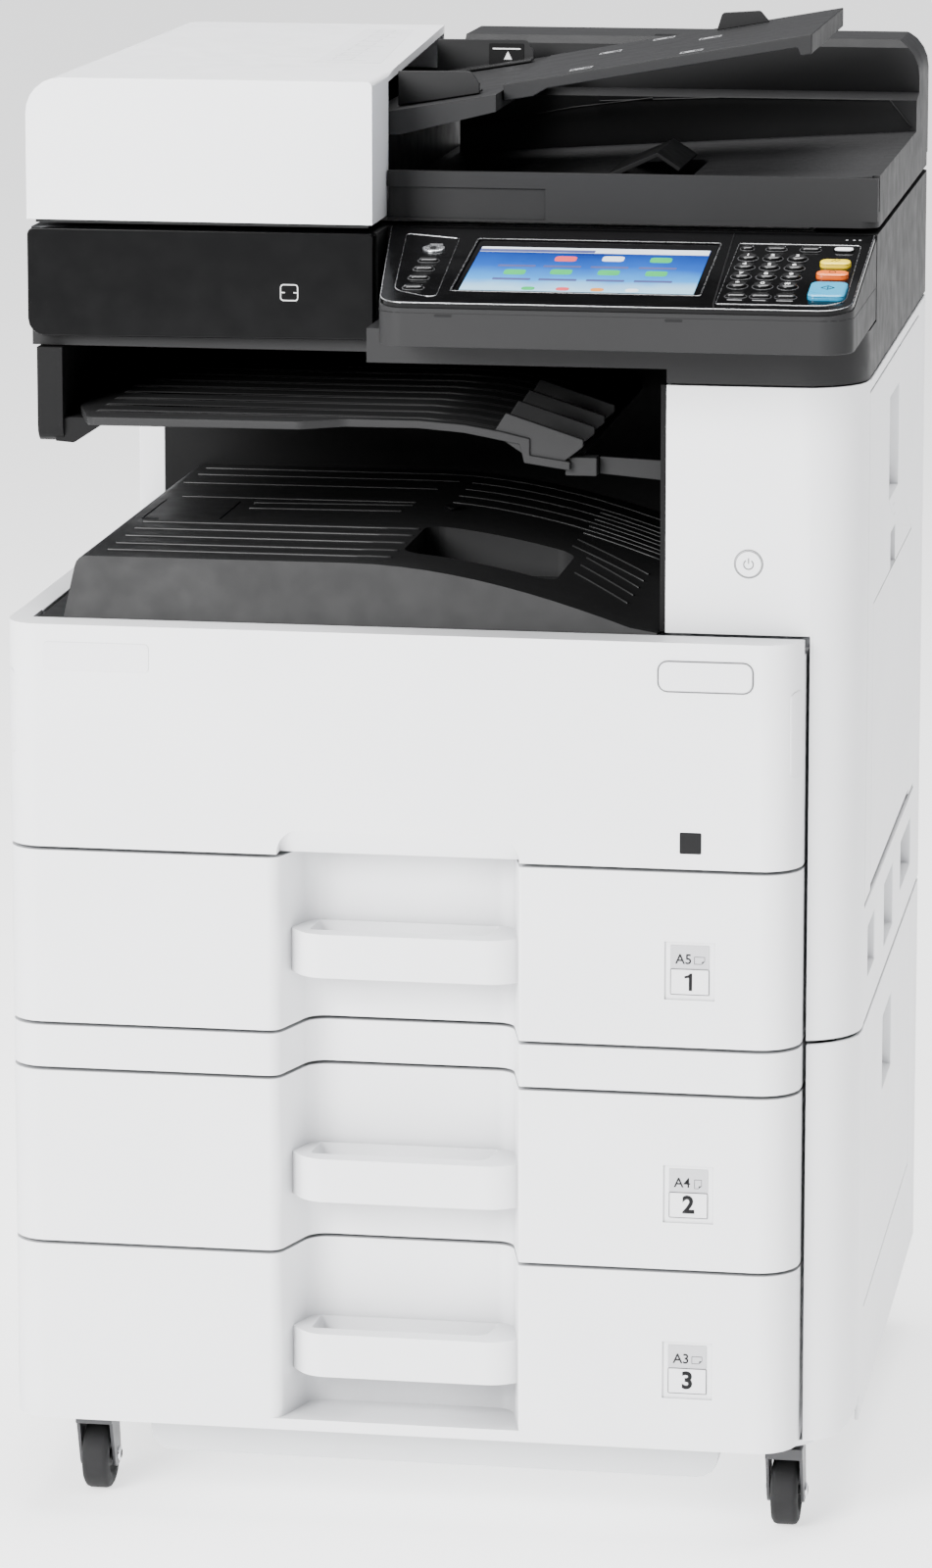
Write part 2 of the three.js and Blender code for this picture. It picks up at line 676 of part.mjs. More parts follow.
function scannerHousing() {
  const wide = outline(
    [
      [-292, -165.5],
      [-45, -165.5],
      [-45, COLUMN_FRONT],
      [HALF, COLUMN_FRONT, 45],
      [HALF, REAR - 3, 10],
      [-292, REAR - 3, 10],
    ],
    7,
  );
  const column = outline(
    [[BAY_RIGHT, COLUMN_FRONT], [HALF, COLUMN_FRONT, 45], [HALF, REAR - 3, 10], [BAY_RIGHT, REAR - 3]],
    7,
  );
  const posts = HINGES.map((x) =>
    join(
      block([x - 14, x + 14], [293, REAR], [900, LID_PIVOT.z]),
      bar(7, "x", [x - 14, x + 14], [LID_PIVOT.y, LID_PIVOT.z], 16),
    ),
  );
  const body = join(
    extrude(wide, "z", [828, SCANNER_TOP]),
    extrude(column, "z", [COLUMN_TOP + 1, 829]),
    block([-288, BAY_RIGHT + 1], [BAY_REAR + 4, REAR - 3], [COLUMN_TOP + 1, 829]),
    ...posts,
  );
  const [x0, x1] = GLASS.x;
  const [y0, y1] = GLASS.y;
  return cut(
    body,
    block([-46, HALF + 1], [COLUMN_FRONT - 1, -125.6], [851.6, SCANNER_TOP + 1]),
    block([-286, 291], [-118, 290], [833, 905.6]),
    block([x0, x1], [y0, y1], [900, SCANNER_TOP + 1]),
    block([x0 - 4.4, x1 + 4.4], [y0 - 4.4, y1 + 4.4], [SCANNER_TOP - 4.4, SCANNER_TOP + 1]),
    block([-222, -202], [y0, y1], [900, SCANNER_TOP + 1]),
  );
}
add("scanner_housing", scannerHousing(), black);

const glassPlate = block(
  [GLASS.x[0] - 4, GLASS.x[1] + 4],
  [GLASS.y[0] - 4, GLASS.y[1] + 4],
  [SCANNER_TOP - 4, SCANNER_TOP],
);
add("platen_glass", glassPlate, glass);

function scannerCarriage() {
  const body = block([-180, -140], [-112, 284], [846, 884]);
  const slot = block([-166, -154], [-100, 190], [870, 890]);
  return cut(body, slot);
}
add("scanner_carriage", scannerCarriage(), black);

const glossPlan = outline(
  [[-292, 836, 12], [-47, 838, 3], [-47, SCANNER_TOP + 0.7, 3], [-292, SCANNER_TOP + 0.7, 5]],
  4,
);
add("gloss_panel", extrude(glossPlan, "y", [-179, -166]), glossBlack);

// ---------------------------------------------------------------- operation panel
// Drawn on the panel's own slope: x across, y up the slope, z out of its face.
const panel = new THREE.Group();
panel.position.set(0, PANEL_EDGE.y, PANEL_EDGE.z);
panel.rotation.x = PANEL_SLOPE;
machine.add(panel);

const PANEL_LENGTH = 183;
const KEY_HOLE = 0.6; // clearance round a key
const NUMBER_KEYS = { x: [214.5, 231.5, 248.5], y: [119.5, 98, 76, 54], radius: 6 };
const TOP_KEYS = [[211.5, 142, 8], [231.5, 142, 13], [255, 142, 13], [278, 141.5, 13]];
const BOTTOM_KEYS = [[216, 31, 13], [232.5, 31, 13], [249.5, 31, 13]];
const SIDE_KEYS = [99, 79, 58, 35].map((y) => [-3, y, 13]);
const SMALL_KEYS = [...TOP_KEYS, ...BOTTOM_KEYS, ...SIDE_KEYS];
const HOME = { x: -4, y: 127, radius: 8 };
const WIDE_KEYS = {
  reset_key: { x: 275.5, y: 106.5, width: 21, depth: 12, material: yellow },
  stop_key: { x: 276, y: 80, width: 22, depth: 12, material: orange },
  start_key: { x: 276.5, y: 42.5, width: 25, depth: 34, material: teal },
};

const keyShape = (x, y, width, depth, grow = 0, r = 5) =>
  rectangle(
    [x - width / 2 - grow, x + width / 2 + grow],
    [y - depth / 2 - grow, y + depth / 2 + grow],
    Math.min(r, depth / 2 - 0.1) + grow,
    3,
  );

function circleShape(x, y, radius, sides = 12) {
  const points = [];
  for (let k = 0; k < sides; k++) {
    const turn = (2 * Math.PI * k) / sides;
    points.push(new THREE.Vector2(x + radius * Math.cos(turn), y + radius * Math.sin(turn)));
  }
  return new THREE.Shape(points);
}

const panelPlan = (inset) =>
  outline(
    [
      [-21 + inset, inset, 18],
      [HALF - 0.4 - inset, inset, 22],
      [HALF - 0.4 - inset, PANEL_LENGTH - inset],
      [-44 + inset, PANEL_LENGTH - inset],
    ],
    5,
  );

function operationPanelBody() {
  const plan = (inset) =>
    outline(
      [
        [-21 + inset, PANEL_EDGE.y + inset, 18],
        [HALF - 0.4 - inset, PANEL_EDGE.y + inset, 22],
        [HALF - 0.4 - inset, -126.4 - inset],
        [-44 + inset, -126.4 - inset],
      ],
      5,
    );
  const rise = Math.tan(PANEL_SLOPE) * 180;
  const side = outline([
    [PANEL_EDGE.y - 1, 852.4],
    [PANEL_EDGE.y - 1, PANEL_EDGE.z - 3.5],
    [PANEL_EDGE.y + 180, PANEL_EDGE.z - 3.3 + rise],
    [-126, PANEL_EDGE.z - 3.2 + rise],
    [-126, 852.4],
  ]);
  const outer = extrude(plan(0), "z", [852.4, 915]).intersect(extrude(side, "x", [-50, 300]));
  return cut(outer, extrude(plan(4), "z", [856, 930]));
}
add("operation_panel_body", operationPanelBody(), darkGrey);

function panelBezel() {
  const plate = panelPlan(0.6);
  plate.holes.push(
    rectangle([24, 191], [32, 154], 2, 2),
    circleShape(HOME.x, HOME.y, HOME.radius + KEY_HOLE, 20),
    ...SMALL_KEYS.map(([x, y, width]) => keyShape(x, y, width, 7, KEY_HOLE, 3)),
    ...Object.values(WIDE_KEYS).map((k) => keyShape(k.x, k.y, k.width, k.depth, KEY_HOLE)),
    ...NUMBER_KEYS.x.flatMap((x) =>
      NUMBER_KEYS.y.map((y) => circleShape(x, y, NUMBER_KEYS.radius + KEY_HOLE)),
    ),
  );
  return extrude(plate, "z", [-3, 0]);
}
add("panel_bezel", panelBezel(), glossBlack, panel);
const screenShape = rectangle([24.4, 190.6], [32.4, 153.6], 2, 2);
add("touchscreen", extrude(screenShape, "z", [-3, -0.8]), display, panel);

// One moulded mat carries the number keys, the small keys and the strip on the left.
function keypad() {
  const web = [-7, -4.4];
  const mats = join(
    block([205, 262], [24, 148], web),
    block([205, 288], [138, 148], web),
    block([-11, 215], [22, 29.5], web),
    block([-11, 5], [22, 105], web),
  );
  const smallKeys = SMALL_KEYS.map(([x, y, width]) =>
    extrude(keyShape(x, y, width, 7, 0, 3), "z", [-5, 1.2]),
  );
  const numberKeys = NUMBER_KEYS.x.flatMap((x) =>
    NUMBER_KEYS.y.map((y) => extrude(circleShape(x, y, NUMBER_KEYS.radius), "z", [-5, 1.6])),
  );
  return join(mats, ...smallKeys, ...numberKeys);
}
add("keypad", keypad(), black, panel);

for (const [name, key] of Object.entries(WIDE_KEYS)) {
  const cap = extrude(keyShape(key.x, key.y, key.width, key.depth), "z", [-4, 2.2]);
  add(name, cap, key.material, panel);
}
add("home_key", extrude(circleShape(HOME.x, HOME.y, HOME.radius, 20), "z", [-4, 1.4]), silver, panel);

// ---------------------------------------------------------------- document feeder
const hingeNotches = HINGES.map((x) => block([x - 18, x + 18], [284, REAR], [910, 946]));
const tableHeight = (x) => 987.5 + (x + 64) * 0.1685; // surface under the width guides
const trayTop = (x) => 1046 - 0.176 * (246 - x); // surface of the document tray

function adfBase() {
  const slab = outline([
    [-286.5, -175],
    [-51, -175],
    [-51, -111],
    [-46.5, -111],
    [-46.5, -123],
    [HALF, -123, 12],
    [HALF, 300, 8],
    [-46, 300],
    [-46, 286.4],
    [-286.5, 286.4],
  ]);
  const works = cut(
    block([-280, -60], [-165, 285], [925, 985]),
    block([-275, -65], [-160, 280], [930, 990]),
  );
  const table = outline([
    [-66, 974],
    [-66, tableHeight(-66)],
    [28, tableHeight(28)],
    [28, 991],
    [-40, 974],
  ]);
  const floor = outline([[-46, 925], [-46, 930], [292, 951], [292, 925]]);
  const rearSide = outline([
    [190, 925],
    [193, 974],
    [215, 978],
    [215, 1011],
    [221, 1016.5],
    [300, 1016.5, 6],
    [300, 925],
  ]);
  const rearFront = outline([[-46, 920], [-46, 1020], [HALF, 1020, 30], [HALF, 920]], 6);
  const rear = extrude(rearSide, "x", [-46, HALF]).intersect(extrude(rearFront, "y", [180, 310]));
  const gripRecess = block([-47, 65], [-124, -120.5], [917, 939]);
  const feed = join(
    extrude(slab, "z", [915.5, 926]),
    works,
    extrude(table, "y", [-110, 210]),
    extrude(floor, "y", [-118, 200]),
    block([-46.5, HALF - 0.2], [-123, -117], [920, 950]),
    block([289, HALF], [-111, 200], [920, 951]),
    rear,
  );
  const stopperPocket = block([94, 160], [-54, 54], [928, 960]);
  return cut(feed, stopperPocket, gripRecess, ...hingeNotches);
}
add("adf_base", adfBase(), darkGrey);
add("platen_mat", block([-183, 248], [-103, 193], [912.2, 915.2]), white);

// The cover's right edge slants away from the paper guides towards the back.
function adfTopCover() {
  const plan = [[-292, -179], [-47.5, -179], [-47.5, -115], [-74, 290], [-292, 290]];
  const under = [[-292, 918], [-47.5, 918], [-47.5, FEEDER_TOP, 4], [-292, FEEDER_TOP, 25]];
  const shell = (inset, low) => {
    const across = outline(insetCorners(under, inset), 6);
    const above = outline(insetCorners(plan, inset));
    return extrude(across, "y", [-200, 300]).intersect(extrude(above, "z", [low, FEEDER_TOP + 1]));
  };
  const inner = join(shell(SKIN, 918), extrude(outline(insetCorners(plan, SKIN)), "z", [917, 925]));
  return cut(shell(0, 917), inner, block([-80, -40], [-112, 287], [917, 1011]));
}
add("adf_top_cover", adfTopCover(), white);

function documentTray() {
  const profile = outline([
    [29, trayTop(29) - 12],
    [29, trayTop(29)],
    [246, trayTop(246)],
    [246, trayTop(246) - 14],
    [238, trayTop(238) - 14],
    [236, trayTop(236) - 8],
    [60, trayTop(60) - 8],
    [50, trayTop(50) - 12],
  ]);
  return extrude(profile, "y", [-82, 148]);
}
add("document_tray", documentTray(), darkGrey);

function widthGuide(y, left, footTowards) {
  const rest = tableHeight(left) + 0.8;
  const right = 12;
  const restRight = tableHeight(right) + 0.8;
  const side = outline([[left, rest], [left, 1016], [6, 1016.5, 5], [right, 1008], [right, restRight]]);
  const foot = outline([[left, rest], [left, rest + 2], [right, restRight + 2], [right, restRight]]);
  const reach = footTowards > 0 ? [y, y + 16] : [y - 13, y + 3];
  return join(extrude(side, "y", [y, y + 3]), extrude(foot, "y", reach));
}
add("front_width_guide", widthGuide(-82, -46, 1), darkGrey);
add("rear_width_guide", widthGuide(178, -61, -1), darkGrey);

function trayStopFlap() {
  const side = outline([
    [157, trayTop(157) + 0.6],
    [161, trayTop(161) + 13, 3],
    [189, trayTop(189) + 10, 3],
    [196, trayTop(196) + 0.6],
  ]);
  return extrude(side, "y", [110, 112.5]);
}
add("tray_stop_flap", trayStopFlap(), darkGrey);

function ejectStopper() {
  const over = [[98, 939], [98, 942], [134, 958], [151, 947]];
  const under = [[149, 944.6], [134, 954.4], [101, 939]];
  const side = outline([...over, ...under]);
  return extrude(side, "y", [-48, 48]);
}
add("eject_stopper", ejectStopper(), black);

// ---------------------------------------------------------------- casters
function casterFork(x, y) {
  const axle = { y: y + CASTER.trail, z: CASTER.wheel };
  const leg = outline([
    [y - 12, 62],
    [y + 13, 62],
    [axle.y + 9, axle.z - 8, 8],
    [axle.y - 9, axle.z - 8, 8],
  ]);
  const legs = [-1, 1].map((side) => {
    const middle = x + side * 12;
    return extrude(leg, "x", [middle - 1.2, middle + 1.2]);
  });
  return join(
    block([x - 13.2, x + 13.2], [y - 12, y + 13], [54, 62]),
    bar(11, "z", [61, CASTER.top], [x, y], 16),
    bar(3.6, "x", [x - 15, x + 15], [axle.y, axle.z], 12),
    ...legs,
  );
}

function casterWheel(x, y) {
  const half = CASTER.width / 2;
  const rim = CASTER.wheel;
  const profile = [
    [4.2, -half],
    [rim - 4, -half],
    [rim - 1, -half + 1.6],
    [rim, -half + 5],
    [rim, half - 5],
    [rim - 1, half - 1.6],
    [rim - 4, half],
    [4.2, half],
    [4.2, -half],
  ].map(([r, h]) => new THREE.Vector2(r, h));
  const wheel = new THREE.LatheGeometry(profile, 28);
  wheel.rotateZ(-Math.PI / 2);
  wheel.translate(x, y + CASTER.trail, CASTER.wheel);
  return solid(wheel);
}

const corners = { front_left: [-1, -1], front_right: [1, -1], rear_left: [-1, 1], rear_right: [1, 1] };
for (const [corner, [side, end]] of Object.entries(corners)) {
  const at = [side * CASTER.x, end * CASTER.y];
  add(`caster_fork_${corner}`, casterFork(...at), steel);
  add(`caster_wheel_${corner}`, casterWheel(...at), rubber);
}

add("toner_container", tonerContainer(), black);

export default machine;
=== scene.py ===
import json
import math

import bmesh
import bpy
from mathutils import Matrix, Vector


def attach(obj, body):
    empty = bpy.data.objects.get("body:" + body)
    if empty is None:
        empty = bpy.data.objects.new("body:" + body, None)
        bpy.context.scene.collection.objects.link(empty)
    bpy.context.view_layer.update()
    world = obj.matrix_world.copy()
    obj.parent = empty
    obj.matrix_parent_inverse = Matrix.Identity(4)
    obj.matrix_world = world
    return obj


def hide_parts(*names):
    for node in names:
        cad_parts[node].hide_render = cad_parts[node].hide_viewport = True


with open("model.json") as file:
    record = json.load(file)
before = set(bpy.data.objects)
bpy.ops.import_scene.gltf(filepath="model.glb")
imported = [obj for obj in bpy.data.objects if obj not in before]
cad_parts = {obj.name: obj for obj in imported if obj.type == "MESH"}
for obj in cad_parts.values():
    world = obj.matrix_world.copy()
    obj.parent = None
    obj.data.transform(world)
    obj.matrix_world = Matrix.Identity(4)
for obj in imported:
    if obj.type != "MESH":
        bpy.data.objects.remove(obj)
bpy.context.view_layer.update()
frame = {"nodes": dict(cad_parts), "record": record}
NODES = frame["nodes"]
MM = 0.001


# ---------------------------------------------------------------- materials
def shader_node(tree, kind, inputs=None, **settings):
    """A shader node; an input given as a socket is linked, any other value is set."""
    made = tree.nodes.new(kind)
    for key, value in settings.items():
        setattr(made, key, value)
    for key, value in (inputs or {}).items():
        if isinstance(value, bpy.types.NodeSocket):
            tree.links.new(value, made.inputs[key])
        else:
            made.inputs[key].default_value = value
    return made


def shade(colour, factor):
    return tuple(min(1.0, c * factor) for c in colour[:3]) + (1.0,)


def noise(tree, place, scale, detail=2.0):
    return shader_node(tree, "ShaderNodeTexNoise",
                       {"Vector": place, "Scale": scale, "Detail": detail}).outputs["Fac"]


def ramp(tree, value, stops):
    made = shader_node(tree, "ShaderNodeValToRGB", {"Fac": value})
    elements = made.color_ramp.elements
    while len(elements) < len(stops):
        elements.new(0.5)
    for element, (position, colour) in zip(elements, stops):
        element.position = position
        element.color = colour
    return made.outputs["Color"]


def spread(tree, value, low, high, from_low=0.3, from_high=0.7):
    return shader_node(tree, "ShaderNodeMapRange",
                       {"Value": value, "From Min": from_low, "From Max": from_high,
                        "To Min": low, "To Max": high}).outputs["Result"]


def start_material(name, sockets):
    made = bpy.data.materials.new(name)
    made.use_nodes = True
    tree = made.node_tree
    shader = tree.nodes["Principled BSDF"]
    for key, value in sockets.items():
        shader.inputs[key].default_value = value
    place = shader_node(tree, "ShaderNodeTexCoord").outputs["Object"]
    return made, tree, shader, place


def plastic(name, colour, rough=0.45, grain=0.12, grain_scale=1500, mottle=0.02, painted_shade=0.35, reach=0.012,
            **sockets):
    """Moulded plastic: fine spark-eroded grain, faint random tone variation, and painted shade that
    darkens the gaps and recesses.
    """
    made, tree, shader, place = start_material(name, sockets)
    cloud = noise(tree, place, 9, 4)
    body = ramp(tree, cloud, [(0.3, shade(colour, 1 - mottle)), (0.7, shade(colour, 1 + mottle))])
    # Painted shade: an ambient occlusion mask darkens the base colour in gaps and recesses, where nearby
    # surfaces block the light.
    if painted_shade:
        gap = shader_node(tree, "ShaderNodeAmbientOcclusion",
                          {"Color": (1, 1, 1, 1), "Distance": reach}, samples=6).outputs["AO"]
        painted_shade_colour = ramp(tree, gap, [(0.0, shade(colour, 1 - painted_shade)), (0.75, (1, 1, 1, 1))])
        body = shader_node(tree, "ShaderNodeMix",
                           {"Factor": 1.0, 6: body, 7: painted_shade_colour},
                           data_type="RGBA", blend_type="MULTIPLY").outputs[2]
    tree.links.new(body, shader.inputs["Base Color"])
    tree.links.new(spread(tree, noise(tree, place, 55, 5), rough - 0.05, rough + 0.06),
                   shader.inputs["Roughness"])
    if grain:
        tooth = noise(tree, place, grain_scale, 3)
        bump = shader_node(tree, "ShaderNodeBump",
                           {"Height": tooth, "Strength": grain, "Distance": 0.0002})
        tree.links.new(bump.outputs["Normal"], shader.inputs["Normal"])
    return made


def metal(name, colour, rough=0.35, along=(1, 1, 1), **sockets):
    """Sheet metal with a drawn grain along one axis and soft blotches."""
    made, tree, shader, place = start_material(name, {"Metallic": 1.0, **sockets})
    drawn = shader_node(tree, "ShaderNodeMapping", {"Vector": place, "Scale": along}).outputs["Vector"]
    streaks = noise(tree, drawn, 260, 3)
    blotch = noise(tree, place, 30, 4)
    tree.links.new(ramp(tree, blotch, [(0.3, shade(colour, 0.9)), (0.7, shade(colour, 1.06))]),
                   shader.inputs["Base Color"])
    tree.links.new(spread(tree, streaks, rough - 0.08, rough + 0.1), shader.inputs["Roughness"])
    bump = shader_node(tree, "ShaderNodeBump", {"Height": streaks, "Strength": 0.08, "Distance": 0.0002})
    tree.links.new(bump.outputs["Normal"], shader.inputs["Normal"])
    return made


def rubber(name, colour):
    made, tree, shader, place = start_material(name, {"Specular IOR Level": 0.3})
    dust = noise(tree, place, 120, 6)
    body = ramp(tree, dust, [(0.35, colour), (0.75, shade(colour, 2.4))])
    tree.links.new(body, shader.inputs["Base Color"])
    tree.links.new(spread(tree, dust, 0.7, 0.9), shader.inputs["Roughness"])
    bump = shader_node(tree, "ShaderNodeBump", {"Height": noise(tree, place, 900, 3), "Strength": 0.3,
                                                "Distance": 0.0003})
    tree.links.new(bump.outputs["Normal"], shader.inputs["Normal"])
    return made


def glass(name, colour):
    made, tree, shader, place = start_material(
        name, {"Transmission Weight": 0.92, "IOR": 1.5, "Base Color": colour})
    smear = noise(tree, place, 25, 5)
    tree.links.new(spread(tree, smear, 0.015, 0.06), shader.inputs["Roughness"])
    return made


def glow(name, colour, strength, rough=0.12):
    """A lit area of the display, behind a glossy face; the light is a touch uneven."""
    made, tree, shader, place = start_material(
        name, {"Roughness": rough, "Emission Strength": strength, "Specular IOR Level": 0.2})
    uneven = noise(tree, place, 45, 2)
    lit = ramp(tree, uneven, [(0.3, shade(colour, 0.94)), (0.7, shade(colour, 1.05))])
    tree.links.new(lit, shader.inputs["Base Color"])
    tree.links.new(lit, shader.inputs["Emission Color"])
    return made


def display_gradient(name):
    """Deep blue at the far edge of the display, pale blue at the near one."""
    made, tree, shader, place = start_material(
        name, {"Roughness": 0.12, "Emission Strength": 0.25, "Specular IOR Level": 0.2})
    along = shader_node(tree, "ShaderNodeSeparateXYZ", {"Vector": place}).outputs["Y"]
    far = spread(tree, along, 0.0, 1.0, -0.268, -0.178)
    waves = noise(tree, place, 22, 2)
    mixed = shader_node(tree, "ShaderNodeMath", {0: far, 1: spread(tree, waves, -0.08, 0.08)},
                        operation="ADD").outputs[0]
    lit = ramp(tree, mixed, [(0.0, (0.28, 0.50, 0.66, 1)), (0.25, (0.03, 0.24, 0.60, 1)),
                             (0.6, (0.006, 0.07, 0.36, 1)), (1.0, (0.004, 0.02, 0.16, 1))])
    tree.links.new(lit, shader.inputs["Base Color"])
    tree.links.new(lit, shader.inputs["Emission Color"])
    return made


WHITE = (0.86, 0.865, 0.88, 1)
# The shade strength given to each plastic darkens its colour in gaps and recesses as painted shade; the
# white plastic's is strongest and reaches 5 cm.
M = {
    "white": plastic("white_plastic", WHITE, 0.42, 0.10, painted_shade=0.6, reach=0.05),
    "pale_grey": plastic("pale_grey_plastic", (0.60, 0.61, 0.62, 1), 0.5, 0.12),
    "dark_grey": plastic("dark_grey_plastic", (0.021, 0.021, 0.0215, 1), 0.5, 0.16, mottle=0.05,
                         **{"Specular IOR Level": 0.1}),
    "tray_grey": plastic("tray_grey_plastic", (0.019, 0.019, 0.0194, 1), 0.5, 0.2, mottle=0.06,
                         **{"Specular IOR Level": 0.15}),
    "black": plastic("black_plastic", (0.007, 0.007, 0.0072, 1), 0.48, 0.16, mottle=0.08,
                     **{"Specular IOR Level": 0.08}),
    "gloss_black": plastic("gloss_black_plastic", (0.003, 0.003, 0.0032, 1), 0.13, 0, mottle=0.1,
                           painted_shade=0, **{"Specular IOR Level": 0.1}),
    "steel": metal("galvanised_steel", (0.58, 0.59, 0.61, 1), 0.36, (1, 30, 1)),
    "dark_steel": plastic("painted_fork_steel", (0.03, 0.03, 0.033, 1), 0.4, 0.1, mottle=0.08),
    "bright_steel": metal("bright_steel", (0.66, 0.66, 0.68, 1), 0.22, (20, 1, 1)),
    "glass": glass("platen_glass", (0.86, 0.93, 0.92, 1)),
    "tyre": rubber("rubber_tyre", (0.006, 0.006, 0.0063, 1)),
    "foam": plastic("white_foam", (0.86, 0.86, 0.85, 1), 0.8, 0.4, 500, 0.02),
    "yellow": plastic("yellow_key", (0.80, 0.60, 0.003, 1), 0.3, 0.05, painted_shade=0.2),
    "orange": plastic("orange_key", (0.72, 0.13, 0.008, 1), 0.3, 0.05, painted_shade=0.2),
    "teal": plastic("teal_key", (0.01, 0.30, 0.52, 1), 0.3, 0.05, painted_shade=0.2),
    "silver": metal("silver_key", (0.62, 0.63, 0.65, 1), 0.28, (8, 1, 1)),
    "drum": plastic("photoconductor", (0.05, 0.26, 0.32, 1), 0.12, 0, painted_shade=0, **{"Coat Weight": 0.6}),
    "roller": metal("heat_roller", (0.55, 0.56, 0.58, 1), 0.3, (1, 12, 1)),
    "board": plastic("circuit_board", (0.02, 0.13, 0.05, 1), 0.35, 0.25, 400, 0.12),
    "screen": plastic("display_glass", (0.003, 0.003, 0.0034, 1), 0.1, 0, painted_shade=0,
                      **{"Specular IOR Level": 0.2}),
    "label_white": plastic("label_white", (0.82, 0.82, 0.84, 1), 0.5, 0.05, painted_shade=0.1),
    "sticker": plastic("sticker", (0.76, 0.765, 0.78, 1), 0.5, 0.05, painted_shade=0.1),
    "label_grey": plastic("label_grey", (0.50, 0.50, 0.52, 1), 0.5, 0.05, painted_shade=0.15),
    "badge_grey": plastic("badge_grey", (0.08, 0.08, 0.085, 1), 0.4, 0.05, painted_shade=0.1),
    "ink": plastic("ink", (0.006, 0.006, 0.0065, 1), 0.5, 0, painted_shade=0, **{"Specular IOR Level": 0.15}),
    "print_white": plastic("print_white", (0.8, 0.8, 0.8, 1), 0.5, 0, painted_shade=0),
    "print_grey": plastic("print_grey", (0.3, 0.3, 0.31, 1), 0.5, 0, painted_shade=0),
    "rib_grey": plastic("rib_grey", (0.022, 0.022, 0.0225, 1), 0.45, 0.1, painted_shade=0.2),
    "key_black": plastic("key_black", (0.012, 0.012, 0.0125, 1), 0.22, 0.02, painted_shade=0),
    "key_rim": plastic("key_rim", (0.07, 0.07, 0.073, 1), 0.25, 0, painted_shade=0),
    # Silver for the panel's trim lines, one of which is a painted highlight along the bezel's edge.
    "trim_and_highlight_silver": metal("trim_and_highlight_silver", (0.45, 0.45, 0.46, 1), 0.25, (6, 1, 1)),
    "display_blue": display_gradient("display_blue"),
    "display_white": glow("display_white", (0.62, 0.66, 0.72, 1), 0.25),
    "display_violet": glow("display_violet", (0.07, 0.08, 0.20, 1), 0.2),
    "display_red": glow("display_red", (0.60, 0.07, 0.09, 1), 0.25),
    "display_green": glow("display_green", (0.02, 0.38, 0.10, 1), 0.25),
    "display_amber": glow("display_amber", (0.65, 0.24, 0.05, 1), 0.25),
}

SLOT_MATERIAL = {
    "white_plastic": "white", "pale_grey_plastic": "pale_grey", "dark_grey_plastic": "dark_grey",
    "black_plastic": "black", "gloss_black_plastic": "gloss_black", "steel_plate": "steel",
    "dark_steel": "dark_steel", "platen_glass": "glass", "screen": "screen", "rubber_tyre": "tyre",
    "white_foam": "foam", "yellow_key": "yellow", "orange_key": "orange", "teal_key": "teal",
    "silver_key": "silver", "photoconductor": "drum", "heat_roller_coat": "roller",
    "circuit_board": "board",
}
NODE_SLOT = {s["node"]: s["material_slot"] for s in frame["record"]["subparts"]}
OWN_MATERIAL = {"output_tray": "tray_grey", "separator_tray": "tray_grey"}


def paint(piece, key):
    piece.data.materials.clear()
    piece.data.materials.append(M[key])


# ---------------------------------------------------------------- shapes, in millimetres
class Plane:
    """A face of the machine: u and v run across it in millimetres, n stands out of it."""

    def __init__(self, origin, u, v):
        self.origin = Vector(origin)
        self.u = Vector(u).normalized()
        self.v = Vector(v).normalized()
        self.n = self.u.cross(self.v)

    def at(self, a, b, out=0.0):
        return (self.origin + self.u * a + self.v * b + self.n * out) * MM

    def matrix(self, a, b, out):
        turn = Matrix((self.u, self.v, self.n)).transposed() * MM
        return Matrix.Translation(self.at(a, b, out)) @ turn.to_4x4()


SLOPE = math.radians(9.56)
FRONT = Plane((0, -247, 0), (1, 0, 0), (0, 0, 1))
COLUMN = Plane((0, -217, 0), (1, 0, 0), (0, 0, 1))
GLOSS = Plane((0, -179, 0), (1, 0, 0), (0, 0, 1))
RIGHT = Plane((297, 0, 0), (0, 1, 0), (0, 0, 1))
COVER_TOP = Plane((0, 0, 1017), (1, 0, 0), (0, 1, 0))
GUIDE = Plane((0, 178, 0), (1, 0, 0), (0, 0, 1))
PANEL = Plane((0, -307, 881.5), (1, 0, 0), (0, math.cos(SLOPE), math.sin(SLOPE)))
DOCUMENTS = Plane((0, 0, 1046 - 0.176 * 246), (1, 0, 0.176), (0, 1, 0))


def rounded(corners, steps=4):
    """A closed outline through corners (x, y, radius)."""
    points = []
    for i, (x, y, radius) in enumerate(corners):
        corner = Vector((x, y))
        if radius <= 0:
            points.append(corner)
            continue
        back = (Vector(corners[i - 1][:2]) - corner).normalized()
        onward = (Vector(corners[(i + 1) % len(corners)][:2]) - corner).normalized()
        half = back.angle(onward) / 2
        centre = corner + (back + onward).normalized() * radius / math.sin(half)
        start = corner + back * radius / math.tan(half) - centre
        end = corner + onward * radius / math.tan(half) - centre
        turn = math.atan2(start.x * end.y - start.y * end.x, start.dot(end))
        for k in range(steps + 1):
            points.append(centre + Matrix.Rotation(turn * k / steps, 2) @ start)
    return [tuple(p) for p in points]


def box(x0, x1, y0, y1, radius=0.0, steps=4):
    return rounded([(x0, y0, radius), (x1, y0, radius), (x1, y1, radius), (x0, y1, radius)], steps)


def pill(x, y, width, height, radius=None):
    radius = height / 2 - 0.01 if radius is None else radius
    return box(x - width / 2, x + width / 2, y - height / 2, y + height / 2, radius)


def disc(x, y, radius, sides=24):
    turns = [2 * math.pi * k / sides for k in range(sides)]
    return [(x + radius * math.cos(t), y + radius * math.sin(t)) for t in turns]


